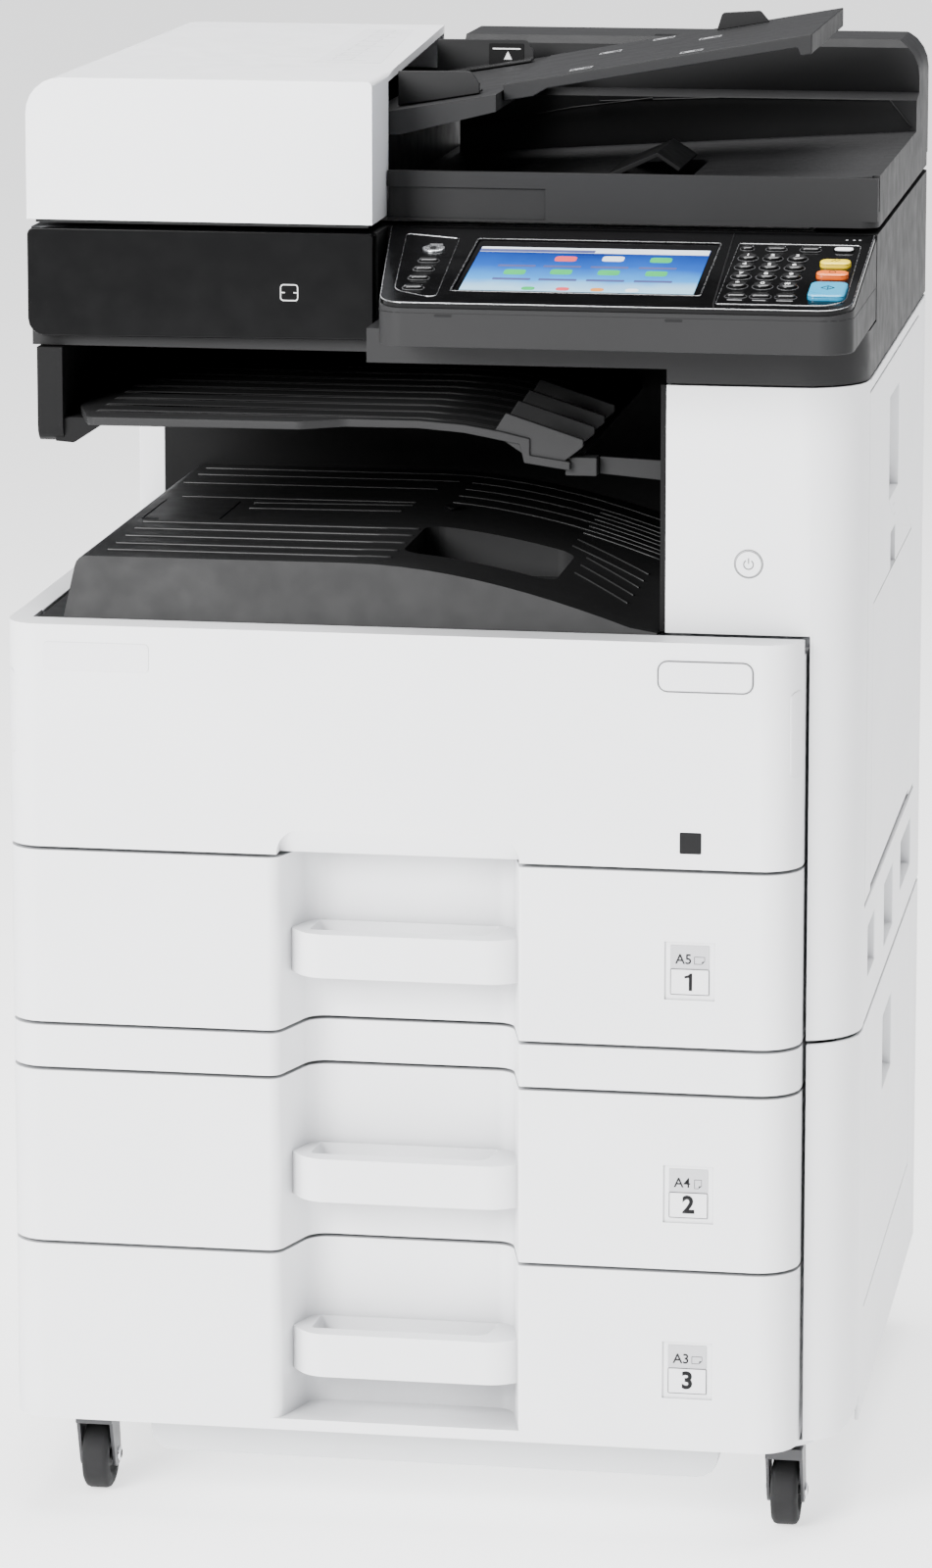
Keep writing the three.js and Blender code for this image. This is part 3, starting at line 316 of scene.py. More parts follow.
def arc(x, y, radius, start, end, steps=12):
    turns = [math.radians(start + (end - start) * k / steps) for k in range(steps + 1)]
    return [(x + radius * math.cos(t), y + radius * math.sin(t)) for t in turns]


def inset(points, distance):
    """The outline moved inwards; it runs anticlockwise."""
    moved = []
    for i, point in enumerate(points):
        here = Vector(point)
        along = (here - Vector(points[i - 1])).normalized()
        onward = (Vector(points[(i + 1) % len(points)]) - here).normalized()
        a, b = Vector((-along.y, along.x)), Vector((-onward.y, onward.x))
        moved.append(tuple(here + (a + b) * distance / max(0.3, 1 + a.dot(b))))
    return moved


class Maker:
    """Gathers closed shapes, then turns them into one piece."""

    def __init__(self):
        self.bm = bmesh.new()

    def walls(self, lower, upper):
        for k in range(len(lower)):
            self.bm.faces.new((lower[k - 1], lower[k], upper[k], upper[k - 1]))

    def stack(self, plane, points, steps):
        """Rings of one outline, each (inset, height), closed at both ends."""
        rings = [[self.bm.verts.new(plane.at(x, y, height)) for x, y in inset(points, distance)]
                 for distance, height in steps]
        for lower, upper in zip(rings, rings[1:]):
            self.walls(lower, upper)
        self.bm.faces.new(list(reversed(rings[0])))
        self.bm.faces.new(rings[-1])

    def slab(self, plane, points, low, high, soft=0.2):
        """A plate with its upper edge rounded off."""
        soft = min(soft, (high - low) / 2)
        self.stack(plane, points, [(0, low), (0, high - soft), (0.3 * soft, high - 0.3 * soft),
                                   (soft, high)])

    def crown(self, plane, points, low, rise, reach):
        """A key cap with a domed top; reach is how far in the dome runs."""
        steps = [(0, low), (0, low + 0.25 * rise)]
        for k in range(1, 5):
            t = math.pi / 8 * k
            steps.append((reach * (1 - math.cos(t)), low + rise * (0.25 + 0.75 * math.sin(t))))
        self.stack(plane, points, steps)

    def rim(self, plane, points, width, low, high):
        """A flat frame along the inside of an outline."""
        rings = [[self.bm.verts.new(plane.at(x, y, height)) for x, y in inset(points, distance)]
                 for distance, height in ((0, low), (0, high), (width, high), (width, low))]
        for k in range(4):
            self.walls(rings[k], rings[(k + 1) % 4])

    def tube(self, points, radius, sides=8):
        """A round bar through points in the row frame, in millimetres."""
        path = [Vector(p) * MM for p in points]
        rings = []
        for i, point in enumerate(path):
            along = (path[min(i + 1, len(path) - 1)] - path[max(i - 1, 0)]).normalized()
            side = along.cross(Vector((0.13, 0.31, 0.94))).normalized()
            up = side.cross(along)
            rings.append([self.bm.verts.new(point + (side * math.cos(t) + up * math.sin(t)) * radius * MM)
                          for t in (2 * math.pi * k / sides for k in range(sides))])
        for lower, upper in zip(rings, rings[1:]):
            self.walls(lower, upper)
        self.bm.faces.new(list(reversed(rings[0])))
        self.bm.faces.new(rings[-1])

    def line(self, plane, points, radius=0.35, out=0.0):
        """A raised line on a plane."""
        self.tube([plane.at(x, y, out) / MM for x, y in points], radius, 6)

    def loop(self, plane, points, radius=0.35, out=0.0):
        self.line(plane, list(points) + [points[0]], radius, out)

    def lathe(self, centre, profile, sides=56):
        """A closed ring turned round an axis along X; the profile holds (x, radius)."""
        rings = []
        for k in range(sides):
            t = 2 * math.pi * k / sides
            rings.append([self.bm.verts.new(Vector((centre[0] + x, centre[1] + r * math.cos(t),
                                                    centre[2] + r * math.sin(t))) * MM)
                          for x, r in profile])
        for k in range(sides):
            self.walls(rings[k - 1], rings[k])

    def text(self, plane, words, x, y, size, low, high, bold=0.0):
        curve = bpy.data.curves.new("letters", "FONT")
        curve.body, curve.size, curve.offset = words, size, bold
        curve.align_x = curve.align_y = "CENTER"
        curve.extrude = (high - low) / 2
        curve.resolution_u = 3
        holder = bpy.data.objects.new("letters", curve)
        bpy.context.scene.collection.objects.link(holder)
        shaped = holder.evaluated_get(bpy.context.evaluated_depsgraph_get())
        mesh = bpy.data.meshes.new_from_object(shaped)
        mesh.transform(plane.matrix(x, y, (low + high) / 2))
        before = len(self.bm.verts)
        self.bm.from_mesh(mesh)
        self.bm.verts.ensure_lookup_table()
        bmesh.ops.remove_doubles(self.bm, verts=self.bm.verts[before:], dist=1e-7)
        bpy.data.objects.remove(holder)
        bpy.data.curves.remove(curve)
        bpy.data.meshes.remove(mesh)

    def piece(self, name, key, body, slot):
        bmesh.ops.recalc_face_normals(self.bm, faces=self.bm.faces)
        mesh = bpy.data.meshes.new(name)
        self.bm.to_mesh(mesh)
        self.bm.free()
        mesh.shade_smooth()
        made = bpy.data.objects.new(name, mesh)
        bpy.context.scene.collection.objects.link(made)
        normals = made.modifiers.new("normals", "WEIGHTED_NORMAL")
        normals.weight = 60
        made.data.materials.append(M[key])
        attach(made, body)
        return made


# ---------------------------------------------------------------- CAD nodes: rounded edges, materials
EDGE = 0.9 * MM
WELD = 1e-5
EDGES = {"platen_glass": 0.3, "keypad": 0.6, "panel_bezel": 0.5, "touchscreen": 0.2, "mains_inlet": 0.3,
         "main_board": 0.2, "feeder_frame": 0.4, "main_frame": 0.4, "photoconductor_drum": 0.5,
         "heat_roller": 0.5, "platen_mat": 0.8, "power_button": 0.8, "bay_lining": 0.6,
         "front_width_guide": 0.6, "rear_width_guide": 0.6, "tray_stop_flap": 0.7, "eject_stopper": 0.5}
# These nodes skip the merging of flat faces, which tore drawer_front_3 and right_cover.
UNDISSOLVED = ("drawer_front_3", "drawer_front_1", "drawer_front_2", "right_cover")


def soften(piece, width, limit=32, segments=2):
    """Rounds the sharp edges of a faceted solid and shades it smoothly."""
    mesh = piece.data
    for name in ("custom_normal", "sharp_edge", "sharp_face"):
        if name in mesh.attributes:
            mesh.attributes.remove(mesh.attributes[name])
    mesh.shade_smooth()
    weld = piece.modifiers.new("weld", "WELD")
    weld.merge_threshold = WELD
    if piece.name not in UNDISSOLVED:
        flat = piece.modifiers.new("flat", "DECIMATE")
        flat.decimate_type = "DISSOLVE"
        flat.angle_limit = math.radians(0.6)
    edges = piece.modifiers.new("edges", "BEVEL")
    edges.width = width
    edges.segments = segments
    edges.limit_method = "ANGLE"
    edges.angle_limit = math.radians(limit)
    edges.miter_outer = "MITER_ARC"
    edges.use_clamp_overlap = True
    normals = piece.modifiers.new("normals", "WEIGHTED_NORMAL")
    normals.keep_sharp = False
    normals.weight = 60


for name, piece in NODES.items():
    soften(piece, EDGES[name] * MM if name in EDGES else EDGE)
    paint(piece, OWN_MATERIAL.get(name, SLOT_MATERIAL[NODE_SLOT[name]]))

# ---------------------------------------------------------------- drawers and front cover
LABEL_X = (171, 198)
# Heights of the grey plate over the window's lower edge; its upper part is painted shade under the
# window's upper wall.
SIZE_PLATE_AND_SHADE = (19.2, 35.5)
NUMBER_PLATE = (0.5, 18.8)
DIGIT_AT = (184.5, 9.6)
SIZE_AT = (180.2, 25.4)
PAGE_AT = (191.2, 25.0)
PAGE_FOLD = 2.2
INK_ON_SIZE = (-1.17, -1.0)
INK_ON_NUMBER = (-1.12, -0.95)
# Drawer, lower edge of its label window, paper size, width and height of the page sign.
DRAWER_LABELS = [(1, 397.5, "A5", (7.4, 5.4)), (2, 238.7, "A4", (5.2, 6.6)), (3, 112.3, "A3", (7.4, 5.4))]
DIGIT_ONE = ((-0.7, -6.1), (1.7, -6.1), (1.7, 6.2), (0.1, 6.2), (-1.0, 5.0), (-3.9, 4.0), (-3.5, 2.6),
             (-0.7, 3.1))


def drawer_label(number, low, size, page):
    """Paper-size plate over the number plate, in the window of a drawer; the grey plate runs up to the top
    of the window, and its upper part is painted shade under the window's upper wall.
    """
    left, right = LABEL_X
    body = f"drawer_{number}"
    plate = Maker()
    # Partly painted shade: the grey paper-size plate reaches up to the top of the window, so its upper
    # part stands for the shade under the window's upper wall.
    plate.slab(FRONT, box(left, right, low + SIZE_PLATE_AND_SHADE[0], low + SIZE_PLATE_AND_SHADE[1], 0.4), -1.5, -1.15)
    plate.piece(f"drawer_{number}_size_plate_and_shade", "label_grey", body, "pale_grey_plastic")
    plate = Maker()
    bottom, top = low + NUMBER_PLATE[0], low + NUMBER_PLATE[1]
    plate.slab(FRONT, box(left, right, bottom, top, 0.6), -1.5, -1.1)
    plate.piece(f"drawer_{number}_number_plate", "label_white", body, "white_plastic")
    marks = Maker()
    marks.rim(FRONT, box(left, right, bottom, top, 0.8), 0.45, *INK_ON_NUMBER)
    x, z = DIGIT_AT[0], low + DIGIT_AT[1]
    if number == 1:
        marks.slab(FRONT, [(x + a, z + b) for a, b in DIGIT_ONE], *INK_ON_NUMBER, 0.02)
    else:
        marks.text(FRONT, str(number), x, z, 17, *INK_ON_NUMBER, 0.6)
    marks.text(FRONT, size, SIZE_AT[0], low + SIZE_AT[1], 9.8, *INK_ON_SIZE, 0.1)
    page_sign(marks, page[0] / 2, page[1] / 2, low)
    marks.piece(f"drawer_{number}_label_marks", "ink", body, "black_plastic")


def page_sign(marks, half_width, half_height, low):
    """The outline of a sheet with one folded corner."""
    x, z = PAGE_AT[0], low + PAGE_AT[1]
    left, right = x - half_width, x + half_width
    foot, head = z - half_height, z + half_height
    outline = [(left, head), (left, foot), (right - PAGE_FOLD, foot), (right, foot + PAGE_FOLD),
               (right, head)]
    marks.rim(FRONT, outline, 0.35, *INK_ON_SIZE)
    fold = [(right - PAGE_FOLD, foot + 0.1), (right - 0.1, foot + PAGE_FOLD), (right - 2.0, foot + 2.0)]
    marks.slab(FRONT, fold, *INK_ON_SIZE, 0.02)


for facts in DRAWER_LABELS:
    drawer_label(*facts)

GRIP_STEPS = 10
GRIP_START = -44
GRIP_TURN = 3.2
GRIP_HEIGHTS = (556, 605)
GRIP_SWELL = 5.5


def front_cover_trim():
    """Blank badge plates and, on the rounded ends, a raised grip pad each."""
    plates = Maker()
    plates.slab(FRONT, box(-267.8, -193.2, 612, 632, 3), 0, 0.5)
    plates.slab(FRONT, box(162, 226, 611, 631, 6), 0, 0.4)
    plates.piece("blank_badges", "label_white", "front_cover", "white_plastic")
    edge = Maker()
    edge.rim(FRONT, box(161, 227, 610, 632, 7), 0.7, 0, 0.55)
    edge.piece("badge_edges", "badge_grey", "front_cover", "black_plastic")
    square = Maker()
    square.slab(FRONT, box(177, 192, 497.5, 512.5, 1), 0, 0.4)
    square.piece("square_badge", "ink", "front_cover", "black_plastic")
    grips = Maker()
    for centre_x, side, radius in ((230.5, 1, 29), (-272, -1, 25)):
        rings = []
        for k in range(GRIP_STEPS + 1):
            turn = math.radians(GRIP_START + GRIP_TURN * k)
            reach = math.sqrt(max(0.02, 1 - ((k - GRIP_STEPS / 2) / 5.2) ** 2))
            low = GRIP_HEIGHTS[0] - GRIP_SWELL * reach
            high = GRIP_HEIGHTS[1] + GRIP_SWELL * reach
            ring = []
            for depth, z in ((0.3, low), (0.3, high), (-0.4, high), (-0.4, low)):
                r = radius + depth
                ring.append(grips.bm.verts.new(Vector((centre_x + side * r * math.cos(turn),
                                                       -247 + radius + r * math.sin(turn), z)) * MM))
            rings.append(ring)
        for lower, upper in zip(rings, rings[1:]):
            grips.walls(lower, upper)
        grips.bm.faces.new(rings[0])
        grips.bm.faces.new(rings[-1])
    grips.piece("front_cover_finger_grips", "label_white", "front_cover", "white_plastic")


POWER_AT = (219.6, 694.9)


def power_button_marks():
    """The ring round the power button and its on sign."""
    x, z = POWER_AT
    marks = Maker()
    marks.rim(COLUMN, disc(x, z, 9.2, 36), 0.5, 0.7, 0.95)
    marks.line(COLUMN, arc(x, z - 0.3, 3.3, 125, 415, 14), 0.4, 0.85)
    marks.line(COLUMN, [(x, z + 0.3), (x, z + 4.1)], 0.4, 0.85)
    marks.piece("power_button_marks", "badge_grey", "power_button", "dark_grey_plastic")


front_cover_trim()
power_button_marks()

# ---------------------------------------------------------------- operation panel
NUMBER_X = (214.5, 231.5, 248.5)
NUMBER_V = (119.5, 98, 76, 54)
DIGITS = ("123", "456", "789", "*0#")
TOP_KEYS = ((211.5, 142, 8), (231.5, 142, 13), (255, 142, 13))
LOW_KEYS = ((216, 31, 13), (232.5, 31, 13), (249.5, 31, 13))
STRIP_KEYS = tuple((-3, v, 13) for v in (99, 79, 58, 35))


def key_caps():
    """Domed caps of the keypad's round and small keys, their digits and the rings round them."""
    caps, rims, digits = Maker(), Maker(), Maker()
    for row, v in enumerate(NUMBER_V):
        for column, x in enumerate(NUMBER_X):
            caps.crown(PANEL, disc(x, v, 5.9), 1.55, 1.3, 3.2)
            rims.rim(PANEL, disc(x, v, 7.3, 28), 0.5, -0.05, 0.35)
            digits.text(PANEL, DIGITS[row][column], x, v, 6.4, 2.75, 2.95, 0.05)
    for x, v, width in TOP_KEYS + LOW_KEYS + STRIP_KEYS:
        caps.crown(PANEL, pill(x, v, width - 0.2, 6.8, 2.9), 1.15, 1.1, 2.2)
        rims.rim(PANEL, pill(x, v, width + 2.2, 9.2, 4.2), 0.4, -0.05, 0.3)
    white_key = Maker()
    white_key.crown(PANEL, pill(278, 141.5, 12.8, 6.8, 2.9), 1.15, 1.1, 2.2)
    caps.piece("key_caps", "key_black", "keypad", "black_plastic")
    digits.piece("key_digits", "print_white", "keypad", "white_plastic")
    white_key.piece("white_key_cap", "label_white", "keypad", "white_plastic")
    rims.piece("key_rims", "key_rim", "machine", "black_plastic")


def wide_key_caps():
    """The three coloured keys' caps with their signs, and the home key's sign."""
    for name, key, x, v, width, depth in (("reset_key", "yellow", 275.5, 106.5, 21, 12),
                                          ("stop_key", "orange", 276, 80, 22, 12),
                                          ("start_key", "teal", 276.5, 42.5, 25, 34)):
        cap = Maker()
        cap.crown(PANEL, pill(x, v, width - 0.2, depth - 0.2, 4.9), 2.15, 1.5, 3.5)
        cap.piece(f"{name}_cap", key, name, key + "_key")
    marks = Maker()
    marks.line(PANEL, [(272.6, 104.5), (275.6, 108.5)], 0.35, 3.6)
    marks.line(PANEL, [(275.6, 104.5), (278.6, 108.5)], 0.35, 3.6)
    marks.piece("reset_key_mark", "ink", "reset_key", "black_plastic")
    marks = Maker()
    marks.loop(PANEL, disc(276, 80, 2.3, 16), 0.3, 3.6)
    marks.piece("stop_key_mark", "ink", "stop_key", "black_plastic")
    marks = Maker()
    marks.loop(PANEL, [(276.5, 47.6), (272.2, 43.3), (276.5, 39), (280.8, 43.3)], 0.4, 3.6)
    marks.line(PANEL, [(276.5, 45.6), (276.5, 41)], 0.4, 3.6)
    marks.piece("start_key_mark", "ink", "start_key", "black_plastic")
    home = Maker()
    home.slab(PANEL, [(-7.4, 126.6), (-0.6, 126.6), (-4, 130.4)], 1.3, 1.6, 0.05)
    home.slab(PANEL, box(-6, -2, 123, 126.7), 1.3, 1.55, 0.05)
    home.piece("home_key_mark", "ink", "home_key", "black_plastic")


def panel_print():
    """Rims, seams and small print of the operation panel, with a painted highlight line along the bezel's
    edge; the words are left out.
    """
    trim = Maker()
    # Painted highlight: this silver line along the bezel's lower edge stands for the light caught on that
    # edge.
    outer = rounded([(-42.5, 181.5, 2), (-20.2, 1.4, 17), (295.2, 1.4, 21), (295.2, 181.5, 2)], 6)
    trim.line(PANEL, outer[3:-3], 0.45, 0.05)
    keys = rounded([(204.5, 154.8, 2), (204.5, 13, 2), (290.3, 13, 19), (288.5, 154.8, 3)], 6)
    trim.loop(PANEL, keys, 0.35, 0.05)
    strip = rounded([(-29, 164, 3), (-15, 30, 16), (15.8, 12.6, 5), (9.8, 154, 3)], 5)
    trim.loop(PANEL, strip, 0.3, 0.05)
    trim.rim(PANEL, box(22.4, 192.6, 30.4, 155.6, 3), 0.9, -0.05, 0.25)
    trim.piece("panel_trim_and_edge_highlight_lines", "trim_and_highlight_silver", "machine", "silver_key")
    seams = Maker()
    seams.line(PANEL, [(198.4, 178), (203, 14), (204.4, 2.4)], 0.55, 0.0)
    skirt = rounded([(-44, -126.8, 0), (-21, -306.7, 18), (296.4, -306.7, 22), (296.4, -126.8, 0)], 7)
    seams.tube([(x, y, 875.2) for x, y in skirt], 0.4)
    face = Plane((0, -307, 0), (1, 0, 0), (0, 0, 1))
    for x in (22.9, 178.1):
        seams.slab(face, box(x - 6, x + 6, 872.6, 874.6, 0.8), -0.4, 0.03, 0.01)
    seams.piece("panel_seams", "ink", "machine", "black_plastic")
    print_marks = Maker()
    for x, v, width in ((211.5, 149.6, 7), (231.5, 149.6, 11), (255, 149.6, 13), (278, 149.6, 11),
                        (216, 23.2, 10), (232.5, 23.2, 9), (249.5, 23.2, 11),
                        (-4, 139.4, 9), (-3, 106.3, 8), (-3, 86.3, 10), (-3, 65.3, 7), (-3, 42.3, 10),
                        (275.5, 115.4, 10), (276, 88.9, 8), (276.5, 62.3, 9)):
        print_marks.slab(PANEL, pill(x, v, width, 0.9, 0.3), -0.05, 0.12, 0.05)
    for x in (277.5, 282.5, 286.5):
        print_marks.slab(PANEL, disc(x, 168, 1.0, 10), -0.05, 0.15, 0.05)
    print_marks.piece("panel_print", "print_grey", "machine", "white_plastic")


def display():
    """The touch screen's home page: status bar, eight icons with captions and a row of small ones."""
    page = Maker()
    page.slab(PANEL, box(28, 187, 36, 138.2, 0.6), -0.85, -0.6, 0.05)
    page.piece("display_page", "display_blue", "machine", "screen")
    bars = Maker()
    bars.slab(PANEL, box(28.4, 186.6, 126.4, 138, 0.4), -0.65, -0.52, 0.02)
    bars.piece("display_status_bar", "display_white", "machine", "screen")
    captions = Maker()
    rows = ((58.8, 110, 94), (90.1, 112, 94), (122.6, 114, 94), (155.6, 113, 94),
            (59.6, 79, 63), (91.2, 81, 63), (123.7, 81.5, 63), (156.3, 81, 63))
    for x, _, v in rows:
        captions.slab(PANEL, pill(x, v, 26, 4.6, 1), -0.65, -0.52, 0.02)
    captions.slab(PANEL, box(28.4, 108, 126.8, 133, 0.3), -0.55, -0.48, 0.02)
    captions.piece("display_captions", "display_violet", "machine", "screen")
    icons = {}
    tints = ("blue", "red", "white", "green", "green", "green", "green", "green")
    for (x, v, _), tint in zip(rows, tints):
        icons.setdefault(tint, []).append((x, v, 15, 12))
    for x, tint in ((49.3, "blue"), (74.2, "green"), (97.6, "red"), (121.1, "amber"), (144.7, "white"),
                    (169.4, "blue")):
        icons.setdefault(tint, []).append((x, 41.8, 9, 7.5))
    for tint, places in icons.items():
        drawn = Maker()
        for x, v, width, depth in places:
            drawn.slab(PANEL, pill(x, v, width, depth, 3), -0.65, -0.45, 0.05)
            drawn.slab(PANEL, pill(x + 1.2, v + 1.2, width * 0.5, depth * 0.5, 1.2), -0.5, -0.36, 0.05)
        drawn.piece(f"display_icons_{tint}", f"display_{tint}", "machine", "screen")


key_caps()
wide_key_caps()
panel_print()
display()


def gloss_panel_mark():
    """A small rounded-square mark on the gloss panel."""
    mark = Maker()
    mark.loop(GLOSS, box(-112, -100, 864.5, 875.5, 2), 0.4, 0.1)
    for x, tip in ((-109, -1), (-103, 1)):
        mark.line(GLOSS, [(x, 870), (x + 2.6 * tip, 870)], 0.35, 0.1)
    mark.piece("gloss_panel_mark", "print_white", "machine", "white_plastic")


gloss_panel_mark()

# ---------------------------------------------------------------- document feeder
def feeder_marks():
    """Labels, guide marks, small caps and the exit ledge of the document feeder."""
    sheet = Maker()
    sheet.slab(COVER_TOP, [(-114.6, -37), (-66, -37), (-90, 243), (-127.2, 243)], -0.05, 0.15, 0.05)
    sheet.piece("feeder_size_label", "sticker", "feeder_top_cover", "pale_grey_plastic")
    lines = Maker()
    for k in range(7):
        v = -20 + 38 * k
        lines.slab(COVER_TOP, box(-108 - 1.2 * k, -80 - 2.2 * k, v, v + 1.2), 0.1, 0.22, 0.03)
        lines.rim(COVER_TOP, box(-106 - 1.4 * k, -92 - 1.6 * k, v + 8, v + 26), 0.7, 0.1, 0.22)
    lines.piece("feeder_size_marks", "label_grey", "feeder_top_cover", "pale_grey_plastic")
    window = Maker()
    window.slab(GUIDE, box(-21.8, 4.6, 995, 1013.5, 1), -0.05, 0.4)
    window.piece("width_guide_window", "black", "rear_width_guide", "black_plastic")
    arrow = Maker()
    arrow.slab(GUIDE, [(-10.6, 1001.5), (-4.4, 1001.5), (-7.5, 1007.5)], 0.35, 0.6, 0.05)
    arrow.slab(GUIDE, box(-19, 2, 1009, 1010), 0.35, 0.6, 0.05)
    arrow.piece("width_guide_arrow", "print_white", "rear_width_guide", "white_plastic")
    tray = Maker()
    for x, y in ((81.5, -54), (85.5, 71.9), (117.9, 128), (161.6, -60), (161.7, 52.2)):
        tray.rim(DOCUMENTS, box(x - 8, x + 8, y - 6, y + 6, 1), 0.8, -0.05, 0.2)
        tray.slab(DOCUMENTS, box(x - 4.5, x + 2, y - 2.6, y + 2.6, 0.4), -0.05, 0.2, 0.05)
    tray.piece("document_tray_marks", "print_grey", "document_tray", "pale_grey_plastic")
    ledge = Maker()
    ledge.tube([(-40, 189.8, 950), (-2.7, 189.8, 956.6), (40, 189.8, 965), (100, 189.8, 973)], 0.8)
    ledge.tube([(60, 190.2, 970), (152.5, 190.4, 974), (277, 190.4, 974), (293, 190.2, 954.5)], 0.8)
    ledge.piece("paper_exit_ledge", "dark_grey", "document_feeder", "dark_grey_plastic")
    clip = Maker()
    top = Plane((0, 0, 1016.5), (1, 0, 0), (0, 1, 0))
    clip.slab(top, box(96, 119, 229, 238, 1.5), -0.5, 0.45)
    floor_top = Plane((0, 0, 930), (338, 0, 21), (0, 1, 0))
    clip.slab(floor_top, disc(253, 66, 2.6, 16), -0.4, 0.25)
    clip.piece("feeder_small_caps", "black", "document_feeder", "black_plastic")


feeder_marks()

# ---------------------------------------------------------------- output bay
def tray_height(x):
    """Height of the output tray's surface."""
    s = min(1.0, max(0.0, (x + 60) / 217))
    return max(686 - 44 * s * s * (1.3 - 0.3 * s), 645.5)


def tray_line(maker, points, radius):
    """A ridge along straight runs over the tray's surface."""
    run = []
    for (x0, y0), (x1, y1) in zip(points, points[1:]):
        for k in range(9):
            x, y = x0 + (x1 - x0) * k / 8, y0 + (y1 - y0) * k / 8
            if not run or (run[-1][0] - x) ** 2 + (run[-1][1] - y) ** 2 > 0.01:
                run.append((x, y, tray_height(x) + 0.1))
    maker.tube(run, radius, 6)


def output_tray_ribs():
    """Raised ribs along the tray's surface, two printed outlines and two diamond marks."""
    ribs = Maker()
    for y in (-181, -154, -123, -92, -64):
        tray_line(ribs, [(-236, y), (-60, y), (-35, y + 4)], 1.1)
    for points in ([(-231, 49), (-56, 49)], [(-173, 29), (-56, 36)], [(-172, 5), (-60, 9)],
                   [(-243, 111), (-50, 111)], [(-240, 150), (-40, 150)], [(-240, 180), (-30, 180)]):
        tray_line(ribs, points, 0.9)
    for y in (-94, -63, -33, -6, 21, 50, 80, 110, 140):
        start = 84 if y < -20 else 70
        fall = 53 if y < 25 else 20
        tray_line(ribs, [(start, y - 10), (127, y - fall)], 0.9)
    for y in (60, 90, 120, 150, 180):
        tray_line(ribs, [(-30, y), (60, y - 4), (140, y - 14)], 0.8)
    ribs.piece("output_tray_ribs", "rib_grey", "machine", "dark_grey_plastic")
    slits = Maker()
    for points in ([(-240, 32), (-240, -50), (-228, -50)], [(-184, -45), (-184, 31)]):
        tray_line(slits, points, 0.45)
    for x, y, across, along in ((-26, 34, 6, 10), (51, 64, 10, 15)):
        corners = [(x - across, y), (x, y - along), (x + across, y), (x, y + along)]
        slope = (tray_height(x + 1) - tray_height(x - 1)) / 2
        level = Plane((0, 0, tray_height(x)), (1, 0, slope), (0, 1, 0))
        slits.slab(level, corners, -3.5, 0.35)
    slits.piece("output_tray_slits", "ink", "machine", "black_plastic")


def exit_strip():
    """The dark strip at the inner end of the upper paper exit."""
    strip = Maker()
    face = Plane((0, -172, 0), (1, 0, 0), (0, 0, 1))
    strip.slab(face, rounded([(110.5, 747.5, 1), (157.5, 743.5, 1), (157.5, 757.5, 1), (110.5, 759.5, 1)]),
               -3, 0, 0.6)
    strip.piece("upper_exit_strip", "dark_grey", "machine", "dark_grey_plastic")


def separator_foot():
    """A flat lip under the left end of the upper tray, over to its bracket."""
    foot = Maker()
    under = Plane((0, 0, 777.2), (1, 0, 0), (0, 1, 0))
    foot.slab(under, box(-270, -240, -169, 195, 2), -4, 0)
    foot.piece("separator_tray_lip", "tray_grey", "machine", "dark_grey_plastic")


output_tray_ribs()
exit_strip()
separator_foot()

# ---------------------------------------------------------------- casters, screws
CASTER_X = 248
CASTER_Y = 192
CASTER_TRAIL = 12
WHEEL_RADIUS = 25
FORK_HALF_WIDTH = 13.2
# Profiles (x across the wheel, radius); each is a closed ring round the axle.
TREAD = [(-7, 3.9), (-7, 13.5), (-9.2, 15), (-9.8, 18.5), (-9.3, 22), (-7.9, 24.2), (-5.6, WHEEL_RADIUS),
         (5.6, WHEEL_RADIUS), (7.9, 24.2), (9.3, 22), (9.8, 18.5), (9.2, 15), (7, 13.5), (7, 3.9)]
HUB = [(-7.6, 3.9), (-7.6, 9), (-6.9, 9.8), (6.9, 9.8), (7.6, 9), (7.6, 3.9)]


def caster_pieces():
    """Rounded tyres in place of the plain wheels, with hubs and axle bolts."""
    for end, y in (("front", -CASTER_Y), ("rear", CASTER_Y)):
        for side, x in (("left", -CASTER_X), ("right", CASTER_X)):
            corner = f"{end}_{side}"
            centre = (x, y + CASTER_TRAIL, WHEEL_RADIUS)
            wheel = Maker()
            wheel.lathe(centre, TREAD)
            tyre = wheel.piece(f"caster_tyre_{corner}", "tyre", f"caster_wheel_{corner}", "rubber_tyre")
            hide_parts(f"caster_wheel_{corner}")
            hub = Maker()
            hub.lathe(centre, HUB, 32)
            hub.piece(f"caster_hub_{corner}", "dark_grey", f"caster_wheel_{corner}", "dark_grey_plastic")
            bolts = Maker()
            for out in (-1, 1):
                face = Plane((x + out * FORK_HALF_WIDTH, 0, 0), (0, out, 0), (0, 0, 1))
                bolts.crown(face, disc(out * centre[1], WHEEL_RADIUS, 5.2, 20), -0.1, 1.9, 2.4)
            bolts.piece(f"caster_bolts_{corner}", "bright_steel", f"caster_fork_{corner}", "dark_steel")


def screws(name, plane, places):
    """Domed screw heads with a cross slot each, on the still body."""
    heads = Maker()
    for a, b in places:
        heads.crown(plane, disc(a, b, 3.2, 18), -0.1, 1.3, 2.0)
    heads.piece(name, "bright_steel", "machine", "steel_plate")
    slots = Maker()
    for a, b in places:
        for turn in (0.4, 0.4 + math.pi / 2):
            dx, dy = 1.6 * math.cos(turn), 1.6 * math.sin(turn)
            slots.line(plane, [(a - dx, b - dy), (a + dx, b + dy)], 0.3, 1.15)
    slots.piece(name + "_slots", "ink", "machine", "black_plastic")


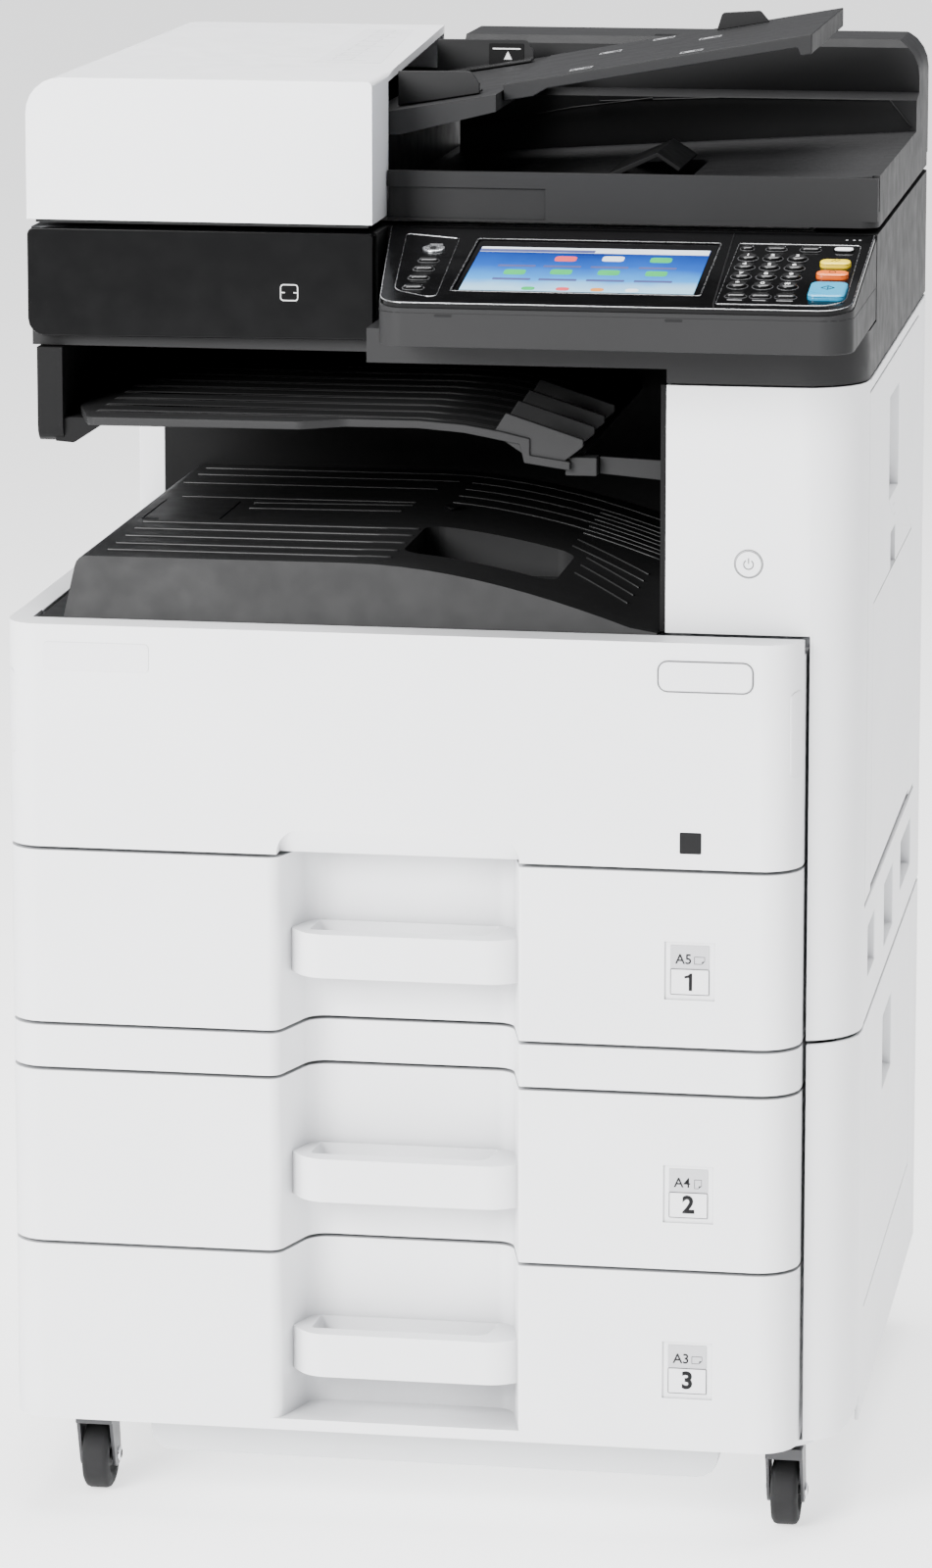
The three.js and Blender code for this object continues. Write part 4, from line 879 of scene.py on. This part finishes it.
caster_pieces()
SCREW_FACE = Plane((0, 305.6, 0), (-1, 0, 0), (0, 0, 1))
screws("rear_cover_screws", SCREW_FACE,
       [(x, z) for x in (-280, 0, 280) for z in (372, 590, 804)])
screws("feeder_cover_screws", SCREW_FACE,
       [(x, z) for x in (-280, 280) for z in (88, 345)])


def right_side_marks():
    """Two short latch ticks below the right cover's finger pocket."""
    ticks = Maker()
    for y, z in ((28, 697), (34, 689)):
        ticks.slab(RIGHT, box(y, y + 14, z - 0.35, z + 0.35), -0.3, 0.03, 0.01)
    ticks.piece("right_cover_ticks", "label_grey", "right_cover", "pale_grey_plastic")


right_side_marks()

# ---------------------------------------------------------------- floor, light, camera
def floor():
    """A plain pale studio floor, which glows softly so that it stays near white."""
    made, tree, shader, place = start_material(
        "studio_floor", {"Roughness": 0.6, "Emission Color": (1, 1, 1, 1), "Emission Strength": 1.5})
    tree.links.new(ramp(tree, noise(tree, place, 1.5, 3),
                        [(0.3, (0.88, 0.88, 0.88, 1)), (0.7, (0.9, 0.9, 0.9, 1))]),
                   shader.inputs["Base Color"])
    mesh = bpy.data.meshes.new("studio_floor")
    size = 30
    mesh.from_pydata([(-size, -size, 0), (size, -size, 0), (size, size, 0), (-size, size, 0)], [],
                     [(0, 1, 2, 3)])
    mesh.materials.append(made)
    plane = bpy.data.objects.new("studio_floor", mesh)
    bpy.context.scene.collection.objects.link(plane)


def area_light(name, place, target, size, power):
    data = bpy.data.lights.new(name, "AREA")
    data.shape = "RECTANGLE"
    data.size, data.size_y = size
    data.energy = power
    lamp = bpy.data.objects.new(name, data)
    lamp.location = place
    lamp.rotation_euler = (Vector(target) - Vector(place)).to_track_quat("-Z", "Y").to_euler()
    bpy.context.scene.collection.objects.link(lamp)


floor()
MIDDLE = (0, 0, 0.5)
WORLD_STRENGTH = 0.3
LENS = 132.9
CAMERA_AT = (0.6465, -4.0893, 1.390)
CAMERA_DOWN = 9.512
CAMERA_TURN = 9.13
CAMERA_SHIFT = -0.18
area_light("key", (-2.2, -4.3, 2.7), MIDDLE, (2.2, 2.2), 640)
area_light("fill", (3.8, -1.6, 1.8), MIDDLE, (2.4, 2.4), 8)
area_light("top", (0.2, 0.4, 4.2), MIDDLE, (3.0, 3.0), 330)
world = bpy.data.worlds.new("studio")
bpy.context.scene.world = world
world.use_nodes = True
world.node_tree.nodes["Background"].inputs["Color"].default_value = (0.93, 0.95, 1, 1)
world.node_tree.nodes["Background"].inputs["Strength"].default_value = WORLD_STRENGTH

camera_data = bpy.data.cameras.new("camera")
camera_data.sensor_fit = "AUTO"
camera_data.sensor_width = 36
camera_data.lens = LENS
camera_data.shift_y = CAMERA_SHIFT
camera_data.clip_end = 60
camera = bpy.data.objects.new("camera", camera_data)
camera.location = CAMERA_AT
camera.rotation_euler = (math.radians(90 - CAMERA_DOWN), 0, math.radians(CAMERA_TURN))
bpy.context.scene.collection.objects.link(camera)
bpy.context.scene.camera = camera
